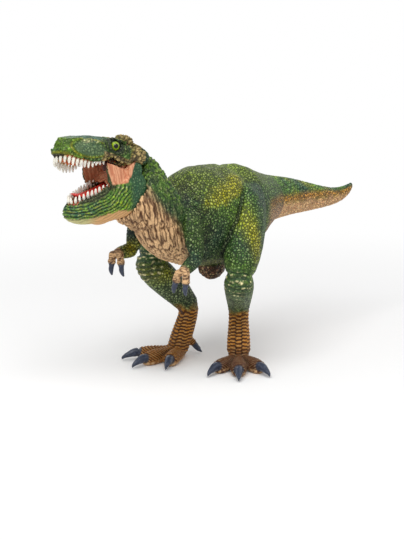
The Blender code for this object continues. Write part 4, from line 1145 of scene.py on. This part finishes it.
def gum_shell(gum_rows, facing, depth, turn, coats, lean):
    """A lining: a rounded bar, hollowed between its gums on the side that faces the mouth."""
    gum_rows = np.array(gum_rows)[::-1]
    aheads = np.linspace(gum_rows[0, 0], gum_rows[-1, 0], SECTIONS)
    angles = full_turn(SECTION_POINTS)
    rings, hollowness, rims = [], [], []
    for number, ahead in enumerate(aheads):
        width, top, bottom = (np.interp(ahead, gum_rows[:, 0], gum_rows[:, i]) for i in (1, 2, 3))
        ends = min(number, SECTIONS - 1 - number) / 6
        shrink = 1 if ends >= 1 else (1 - (1 - ends) ** 2 * 0.5)
        x = np.sign(np.cos(angles)) * np.abs(np.cos(angles)) ** ROUND_POWER * width * shrink
        z = np.sign(np.sin(angles)) * np.abs(np.sin(angles)) ** ROUND_POWER * (top - bottom) / 2 * shrink
        open_side = np.sin(angles) * facing > 0
        hollow = max(width - GUM_WIDTH, GUM_WIDTH / 2)
        carve = np.where(open_side, np.clip(1 - (np.abs(x) / hollow) ** 2.4, 0, 1), 0) * min(ends, 1)
        z = z + (top + bottom) / 2 - facing * depth * carve
        ripple = 0.12 * np.cos(2 * pi * ahead / 2.3 + 1.5 * np.abs(x) / width)
        z = z - facing * ripple * carve
        gap = 0.14 * np.cos(2 * pi * ahead / 2.35) * (1 - carve) * open_side
        rings.append(np.c_[x, np.full(len(x), ahead), z + facing * gap])
        hollowness.append(carve)
        rims.append(np.abs(x) / width)
    points, faces = tube(rings)
    if lean:
        points[:, 2] -= sunk(*points.T)
    hollowness = np.concatenate([np.ravel(hollowness), [0, 0]])
    mottled = noise_at(points, 1.6, 60)
    coat = blended(coats[0], coats[1], ramp(-0.3, 0.4, mottled) * 0.6)
    coat = blended(coat, coats[2], hollowness * 0.8)
    # Painted shade: the outer side of each lining, on the near side only, darkened where it shows beside the
    # lip.
    rims = np.concatenate([np.ravel(rims), [0, 0]])
    outer = ramp(0.9, 0.97, rims) * (points[:, 0] > 0)
    coat = blended(coat, BONE_DARK * 0.7 if lean else SHADOW_STRIP_DARK, outer)
    # Painted shade: the skull lining darkened at the corner where it shows through the slot in the skull.
    if lean:
        corner = ramp(4.4, 5.4, np.abs(points[:, 0])) * ramp(22, 19.5, points[:, 1])
        coat = blended(coat, BONE_DARK * 0.7, corner)
    return placed(points, turn), faces, coat, 0.36 + 0.1 * mottled


def tooth_tree():
    """Geometry Nodes: one peg tooth, made from a ball, and set at even steps along a path."""
    tree = bpy.data.node_groups.new("tooth_row", "GeometryNodeTree")
    for name, kind in (("Path", "Geometry"), ("Teeth", "Int"), ("Length", "Float"), ("Radius", "Float"),
                       ("Root", "Float"), ("Hook", "Float"), ("Seed", "Int"), ("Paint", "Material")):
        tree.interface.new_socket(name, in_out="INPUT", socket_type="NodeSocket" + kind)
    tree.interface.new_socket("Geometry", in_out="OUTPUT", socket_type="NodeSocketGeometry")
    inputs = tree.nodes.new("NodeGroupInput").outputs
    nodes = Nodes(tree)
    node, maths, product = nodes.add, nodes.maths, nodes.product

    def attribute(name):
        return node("GeometryNodeInputNamedAttribute", {"Name": name}, data_type="FLOAT_VECTOR")[0]

    def random(least, most):
        return node("FunctionNodeRandomValue", {"Min": least, "Max": most, "Seed": inputs["Seed"]},
                    data_type="FLOAT_VECTOR")[0]

    def store(geometry, name, kind, value):
        return node("GeometryNodeStoreNamedAttribute", {"Geometry": geometry, "Name": name, "Value": value},
                    data_type=kind, domain="POINT")[0]

    ball = node("GeometryNodeMeshUVSphere", {"Segments": 14, "Rings": 15, "Radius": 1.0})["Mesh"]
    place = node("ShaderNodeSeparateXYZ", {0: node("GeometryNodeInputPosition", {})[0]})
    share = maths("MULTIPLY_ADD", place["Z"], 0.85, 0.15)
    spent = maths("MAXIMUM", share, 0.0)
    hidden = maths("MINIMUM", share, 0.0)
    flat = maths("MAXIMUM", maths("SUBTRACT", 1.0, maths("POWER", place["Z"], 2.0)), 0.002)
    taper = maths("SUBTRACT", 1.0, product(maths("POWER", spent, 2.0), 0.3))
    girth = product(maths("POWER", flat, -0.2), taper, inputs["Radius"])
    hook = product(maths("POWER", spent, 2.0), inputs["Hook"])
    root = product(hidden, maths("DIVIDE", inputs["Root"], 0.7))
    drop = maths("ADD", product(spent, inputs["Length"]), root)
    shaped = node("ShaderNodeCombineXYZ", {0: product(place["X"], girth),
                                           1: maths("ADD", product(place["Y"], girth), hook), 2: drop})[0]
    tone = nodes.ranged(share, -0.1, -0.4)
    peg = store(ball, "paint", "FLOAT_COLOR", nodes.mix("MIX", tone, (*TOOTH_WHITE, 1), (*TOOTH_ROOT_TONE, 1)))
    peg = store(peg, "rough", "FLOAT", 0.22)
    peg = node("GeometryNodeSetPosition", {"Geometry": peg, "Position": shaped})[0]

    curve = node("GeometryNodeMeshToCurve", {"Mesh": inputs["Path"]})[0]
    steps = node("GeometryNodeResampleCurve", {"Curve": curve, "Count": inputs["Teeth"]}, mode="COUNT")[0]
    turn = node("FunctionNodeAlignRotationToVector", {"Vector": attribute("hang")}, axis="Z")[0]
    inputs_now = {"Rotation": turn, "Vector": attribute("inward")}
    turn = node("FunctionNodeAlignRotationToVector", inputs_now, axis="Y", pivot_axis="Z")[0]
    least_lean = tuple(-angle for angle in TOOTH_LEAN)
    lean = node("FunctionNodeEulerToRotation", {0: random(least_lean, TOOTH_LEAN)})[0]
    turn = node("FunctionNodeRotateRotation", {0: turn, 1: lean}, rotation_space="LOCAL")[0]
    wear = random(*TOOTH_WEAR)
    size = node("ShaderNodeVectorMath", {0: attribute("size"), 1: wear}, operation="MULTIPLY")[0]
    inputs_now = {"Points": steps, "Instance": peg, "Rotation": turn, "Scale": size}
    row = node("GeometryNodeInstanceOnPoints", inputs_now)[0]
    row = node("GeometryNodeRealizeInstances", {"Geometry": row})[0]
    row = node("GeometryNodeSetMaterial", {"Geometry": row, "Material": inputs["Paint"]})[0]
    node("NodeGroupOutput", {0: row})
    return tree


def tooth_row(name, path, count, sizes, rim_line, down, turn, seed, sink):
    """The teeth of one moulding, as a plain mesh: the tree is run along the rim of the gum and then let go."""
    path = np.array(path)
    steps = np.concatenate([[0], np.cumsum(np.linalg.norm(np.diff(path, axis=0), axis=1))])
    reach = np.linspace(-steps[-1], steps[-1], 2 * PATH_STEPS + 1)
    across, ahead = (np.interp(np.abs(reach), steps, path[:, i]) for i in (0, 1))
    across = across * np.sign(reach)
    rim = along_line(rim_line[::-1], ahead)
    if sink:
        rim = rim - sunk(across, ahead, rim)
    points = placed(np.c_[across, ahead, rim], turn)
    line = bpy.data.meshes.new(name + "_path")
    line.from_pydata((points * MM).tolist(), [(i, i + 1) for i in range(len(points) - 1)], [])
    length = along_line(sizes, ahead) / TOOTH_LENGTH
    size = np.c_[length ** 0.4, length ** 0.4, length]
    hang = np.tile(np.array(turn)[:, 2] * -down, (len(points), 1))
    inward = np.tile(np.array(turn)[:, 1], (len(points), 1))
    for key, value in (("hang", hang), ("inward", inward), ("size", size)):
        layer = line.attributes.new(key, "FLOAT_VECTOR", "POINT")
        layer.data.foreach_set("vector", value.astype(np.float32).ravel())
    obj = new_object(name, line)
    modifier = obj.modifiers.new("Teeth", "NODES")
    modifier.node_group = TOOTH_TREE
    items = TOOTH_TREE.interface.items_tree
    sockets = {item.name: item.identifier for item in items if item.in_out == "INPUT"}
    lengths = {"Length": TOOTH_LENGTH, "Radius": TOOTH_RADIUS, "Root": TOOTH_ROOT, "Hook": TOOTH_HOOK}
    for key, value in lengths.items():
        modifier[sockets[key]] = value * MM
    for key, value in {"Teeth": 2 * count, "Seed": seed, "Paint": MOUTH_PAINT}.items():
        modifier[sockets[key]] = value
    bpy.context.view_layer.update()
    made = bpy.data.meshes.new_from_object(obj.evaluated_get(bpy.context.evaluated_depsgraph_get()))
    bpy.data.objects.remove(obj)
    bpy.data.meshes.remove(line)
    made.name = name
    for key in ("hang", "inward", "size"):
        if key in made.attributes:
            made.attributes.remove(made.attributes[key])
    made.shade_smooth()
    return made


def throat_shell():
    """The wall at the back of the mouth: a drum about the hinge's line, so that the jaw turns clear of it."""
    stations = []
    for share in np.linspace(-1, 1, 80):
        fall = (1 - abs(share) ** 8) ** 0.5 if abs(share) < 1 else 0.0
        radius = THROAT_RADIUS * (0.86 + 0.14 * fall) + 0.16 * cos(share * 46) - 0.2
        stations.append((share * THROAT_HALF_WIDTH, radius))
    points, faces = drum(stations, 120)
    streaks = noise_at(points, (0.9, 6, 6), 61)
    coat = blended(WALL_PINK, PINK_DEEP, ramp(-0.2, 0.4, streaks))
    coat = blended(coat, THROAT_DARK, ramp(-5.4, -1.4, points[:, 2]) * ramp(9, 5, np.abs(points[:, 0])))
    return placed(points, head_turn), faces, coat, 0.42


def mouth_finish(nodes):
    """Painted plastic under a wet-look varnish: the coat, mottled and speckled, over fine grain."""
    grain = nodes.noise(MOUTH_GRAIN, 4)
    shade = nodes.ranged(grain, 0.3, 0.6, 0.72)
    inputs = {0: nodes.attribute("paint", "Color"), "Scale": shade}
    coat = nodes.add("ShaderNodeVectorMath", inputs, operation="SCALE")
    return {"Base Color": coat[0], "Roughness": nodes.attribute("rough"), "Coat Weight": 0.25,
            "Coat Roughness": 0.2, "Normal": nodes.bump(grain, MOUTH_BUMP, 0.6)}


MOUTH_PAINT = new_material("mouth_paint", mouth_finish)
TOOTH_TREE = tooth_tree()
PALATE_COATS = (GUM_ORANGE, GUM_ORANGE * 0.5, GUM_ORANGE * 0.8)
JAW_GUM_COATS = (GUM_RED, WALL_PINK, GUM_RED * 0.7)
upper_shells = [gum_shell(PALATE_ROWS, -1, PALATE_ARCH, head_turn, PALATE_COATS, True), throat_shell()]
lower_shells = [gum_shell(JAW_GUM_ROWS, 1, JAW_TROUGH, jaw_turn, JAW_GUM_COATS, False)]
upper_teeth = tooth_row("upper_teeth", UPPER_TOOTH_PATH, UPPER_TEETH, UPPER_TOOTH_SIZES, UPPER_RIM,
                        1, head_turn, 71, True)
lower_teeth = tooth_row("lower_teeth", LOWER_TOOTH_PATH, LOWER_TEETH, LOWER_TOOTH_SIZES, LOWER_RIM,
                        -1, jaw_turn, 72, False)
for name, mesh, node, body in (("upper_gum", shells_mesh("upper_gum", upper_shells), "upper_mouth", "figure"),
                               ("upper_teeth", upper_teeth, "upper_mouth", "figure"),
                               ("lower_gum", shells_mesh("lower_gum", lower_shells), "lower_mouth", "jaw"),
                               ("lower_teeth", lower_teeth, "lower_mouth", "jaw")):
    piece = new_object(name, mesh)
    if not mesh.materials:
        mesh.materials.append(MOUTH_PAINT)
    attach(piece, body)
    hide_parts(node)

# Tongue: a thick soft tongue in one small moulding, glued into the lower lining, with a groove along its
# middle and its tip curled up behind the front teeth.
TONGUE_LENGTH = 26.0
TONGUE_TIP = 33.6
TONGUE_WIDTH = 8.0
TONGUE_THICKNESS = 2.6
TONGUE_HEIGHT = -7.4
TONGUE_CURL = 4.2
TONGUE_CLIMB = 2.0
TONGUE_GROOVE = 0.55
TONGUE_RED = colour(212, 40, 34)
TONGUE_PINK = colour(228, 92, 72)


def make_tongue():
    rings = []
    angles = full_turn(48)
    for share in np.linspace(0, 1, 70):
        ahead = TONGUE_TIP - TONGUE_LENGTH * share
        taper = (1 - (1 - min(share / 0.3, 1)) ** 2.2) ** 0.5
        tail_end = (1 - max((share - 0.9) / 0.1, 0) ** 2) ** 0.5
        width = TONGUE_WIDTH / 2 * max(taper * max(tail_end, 0.2), 0.08)
        thick = TONGUE_THICKNESS / 2 * max(taper ** 0.6 * max(tail_end, 0.2), 0.1)
        x = width * np.cos(angles)
        z = thick * np.sin(angles)
        groove = np.where(np.sin(angles) > 0, TONGUE_GROOVE * np.exp(-(x / 0.8) ** 2), 0) * taper
        middle = TONGUE_HEIGHT + TONGUE_CURL * (1 - share) ** 5 + TONGUE_CLIMB * share ** 1.5
        rings.append(np.c_[x, np.full(len(x), ahead), z - groove + middle])
    points, faces = tube(rings)
    bumps = noise_at(points, 0.9, 63)
    points[:, 2] += 0.08 * bumps
    coat = blended(TONGUE_RED, TONGUE_PINK, ramp(-0.2, 0.6, bumps) * 0.6)
    return shells_mesh("tongue_moulding", [(placed(points, jaw_turn), faces, coat, 0.24)])


tongue = new_object("tongue_moulding", make_tongue())
tongue.data.materials.append(MOUTH_PAINT)
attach(tongue, "jaw")
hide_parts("tongue")

# Eyes: two small beads pressed into the skull, with a black pupil and a yellow-green iris under clear
# gloss.
SMEAR_SCALE = 500
PUPIL_TURN = radians(29)
IRIS_TURN = radians(66)
GAZE = Vector((1.0, 0.42, 0.05)).normalized()
IRIS = colour(150, 178, 30)
IRIS_DARK = colour(70, 96, 18)
IRIS_EDGE = colour(30, 40, 14)
PUPIL = colour(8, 8, 8)


def make_eye(name, side):
    gaze = np.array((GAZE.x * side, GAZE.y, GAZE.z))
    first = np.cross(gaze, (0, 0, 1))
    first /= np.linalg.norm(first)
    second = np.cross(gaze, first)
    rings, tones, tints = [], [], []
    around = full_turn(72)
    wheel = np.cos(around)[:, None] * first + np.sin(around)[:, None] * second
    for turn in np.linspace(0.01, pi - 0.01, 90):
        bulge = 1 + 0.05 * ramp(0.9, 0.2, turn)
        rings.append((cos(turn) * gaze + sin(turn) * wheel) * EYE_RADIUS * bulge)
        tones.append(np.full(len(around), turn))
        tints.append(0.5 + 0.5 * np.sin(around * 19 + 3 * np.sin(around * 5)))
    points, faces = tube(rings)
    turn = np.concatenate([np.ravel(tones), [0, pi]])
    tint = np.concatenate([np.ravel(tints), [0, 0]])
    coat = blended(IRIS, IRIS_DARK, 0.5 * tint)
    coat = blended(coat, PUPIL, ramp(PUPIL_TURN + 0.04, PUPIL_TURN - 0.04, turn))
    coat = blended(coat, IRIS_EDGE, ramp(IRIS_TURN - 0.08, IRIS_TURN + 0.12, turn))
    centre = np.array((side * EYE_CENTRE[0], EYE_CENTRE[1], EYE_CENTRE[2]))
    return shells_mesh(name, [(placed(points + centre, head_turn), faces, coat, 0.12)])


def eye_finish(nodes):
    """Black, green and yellow paint under a thick clear drop of varnish."""
    smears = nodes.ranged(nodes.noise(SMEAR_SCALE, 2), 0.0, 1.0, 0.08, 0.2)
    return {"Base Color": nodes.attribute("paint", "Color"), "Roughness": smears, "Specular IOR Level": 0.35}


EYE_VARNISH = new_material("eye_varnish", eye_finish)
for node, side in (("left_eye", 1), ("right_eye", -1)):
    piece = new_object(node + "_bead", make_eye(node + "_bead", side))
    piece.data.materials.append(EYE_VARNISH)
    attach(piece, "figure")
    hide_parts(node)

# Jaw pin: a cut length of steel rod, its ends chamfered, through the ears of the jaw and the throat
# block.
PIN_CHAMFER = 0.3
STEEL = colour(176, 178, 182)
STEEL_DULL = (0.30, 0.30, 0.31, 1)
STEEL_BRIGHT = (0.62, 0.62, 0.63, 1)
FILM_SCALE = 350


def make_pin():
    half = PIN_LENGTH / 2
    stations = [(-half, PIN_RADIUS - PIN_CHAMFER), (PIN_CHAMFER - half, PIN_RADIUS)]
    stations += [(x, PIN_RADIUS) for x in np.linspace(1 - half, half - 1, 30)]
    stations += [(half - PIN_CHAMFER, PIN_RADIUS), (half, PIN_RADIUS - PIN_CHAMFER)]
    points, faces = drum(stations, 48)
    return shells_mesh("jaw_pin_rod", [(placed(points, head_turn), faces, STEEL, 0.3)])


def steel_finish(nodes):
    """Drawn steel, with a dull film in patches."""
    film = nodes.noise(FILM_SCALE, 5)
    tone = nodes.add("ShaderNodeValToRGB", {"Fac": film})["Color"]
    for element, grey in zip(tone.node.color_ramp.elements, (STEEL_DULL, STEEL_BRIGHT)):
        element.color = grey
    return {"Base Color": tone, "Metallic": 1.0, "Roughness": nodes.ranged(film, 0.0, 1.0, 0.22, 0.5)}


pin = new_object("jaw_pin_rod", make_pin())
pin.data.materials.append(new_material("drawn_steel", steel_finish))
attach(pin, "figure")
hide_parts("jaw_pin")

# Stage: a pale sweep of paper under a broad soft light from above, seen from the photograph's side.
PAPER_SIZE = 6.0
FADE_START = 0.11
FADE_END = 0.42
GLOW = 0.06
WORLD_LIGHT = 0.55
SOFTBOX_SIZE = (0.9, 0.7)
SOFTBOX_POWER = 9.0
SOFTBOX_PLACE = (0.25, -0.55, 0.95)
SOFTBOX_AIM = (0, 0, 0.07)
paper_corners = [(x * PAPER_SIZE, y * PAPER_SIZE, 0) for x, y in ((-1, -1), (1, -1), (1, 1), (-1, 1))]
paper = bpy.data.meshes.new("paper")
paper.from_pydata(paper_corners, [], [(0, 1, 2, 3)])
floor = new_object("paper", paper)


def paper_finish(nodes):
    """Matt white paper, which fades far out into plain white for the camera alone."""
    to_camera = nodes.add("ShaderNodeLightPath", {})["Is Camera Ray"]
    away = nodes.add("ShaderNodeVectorMath", {0: nodes.place()}, operation="LENGTH")["Value"]
    fade = nodes.product(nodes.spread(away, FADE_START, FADE_END), to_camera)
    matt = nodes.tree.nodes["Principled BSDF"].outputs[0]
    white = nodes.add("ShaderNodeEmission", {"Strength": 1.0})[0]
    blend = nodes.add("ShaderNodeMixShader", {"Fac": fade, 1: matt, 2: white})[0]
    nodes.feed(nodes.tree.nodes["Material Output"], {"Surface": blend})
    return {"Base Color": (0.9, 0.9, 0.9, 1), "Roughness": 0.9, "Specular IOR Level": 0.1,
            "Emission Color": (1, 1, 1, 1), "Emission Strength": nodes.product(to_camera, GLOW)}


floor.data.materials.append(new_material("paper", paper_finish))

world = bpy.data.worlds.new("studio")
bpy.context.scene.world = world
world.use_nodes = True
sky = Nodes(world.node_tree)
rays = sky.add("ShaderNodeLightPath", {})
mirrored = sky.maths("MAXIMUM", rays["Is Camera Ray"], rays["Is Glossy Ray"])
seen = sky.maths("MAXIMUM", mirrored, rays["Is Transmission Ray"])
light = sky.ranged(seen, 0.0, 1.0, WORLD_LIGHT)
sky.feed(world.node_tree.nodes["Background"], {"Color": (1, 1, 1, 1), "Strength": light})

key = bpy.data.lights.new("softbox", "AREA")
key.shape = "RECTANGLE"
key.size, key.size_y = SOFTBOX_SIZE
key.energy = SOFTBOX_POWER
softbox = new_object("softbox", key)
softbox.location = SOFTBOX_PLACE
softbox.rotation_mode = "QUATERNION"
softbox.rotation_quaternion = (Vector(SOFTBOX_PLACE) - Vector(SOFTBOX_AIM)).to_track_quat("Z", "Y")

AZIMUTH = radians(36)
ELEVATION = radians(12)
DISTANCE = 950.0
PIXEL_MM = 0.567
PHOTO_HEIGHT = 540
SENSOR = 36.0
AIM_ASIDE = -3.4
AIM_HEIGHT = 54.0
AIM = FIGURE_SHIFT + np.array((AIM_ASIDE * cos(AZIMUTH), AIM_ASIDE * sin(AZIMUTH), AIM_HEIGHT))
back = Vector((sin(AZIMUTH) * cos(ELEVATION), -cos(AZIMUTH) * cos(ELEVATION), sin(ELEVATION)))
lens = bpy.data.cameras.new("camera")
lens.sensor_width = SENSOR
lens.lens = DISTANCE / PIXEL_MM / PHOTO_HEIGHT * SENSOR
lens.clip_start = 0.01
camera = new_object("camera", lens)
camera.location = Vector(AIM * MM) + back * DISTANCE * MM
camera.rotation_mode = "QUATERNION"
camera.rotation_quaternion = back.to_track_quat("Z", "Y")
bpy.context.scene.camera = camera
bpy.context.scene.view_settings.view_transform = "Standard"
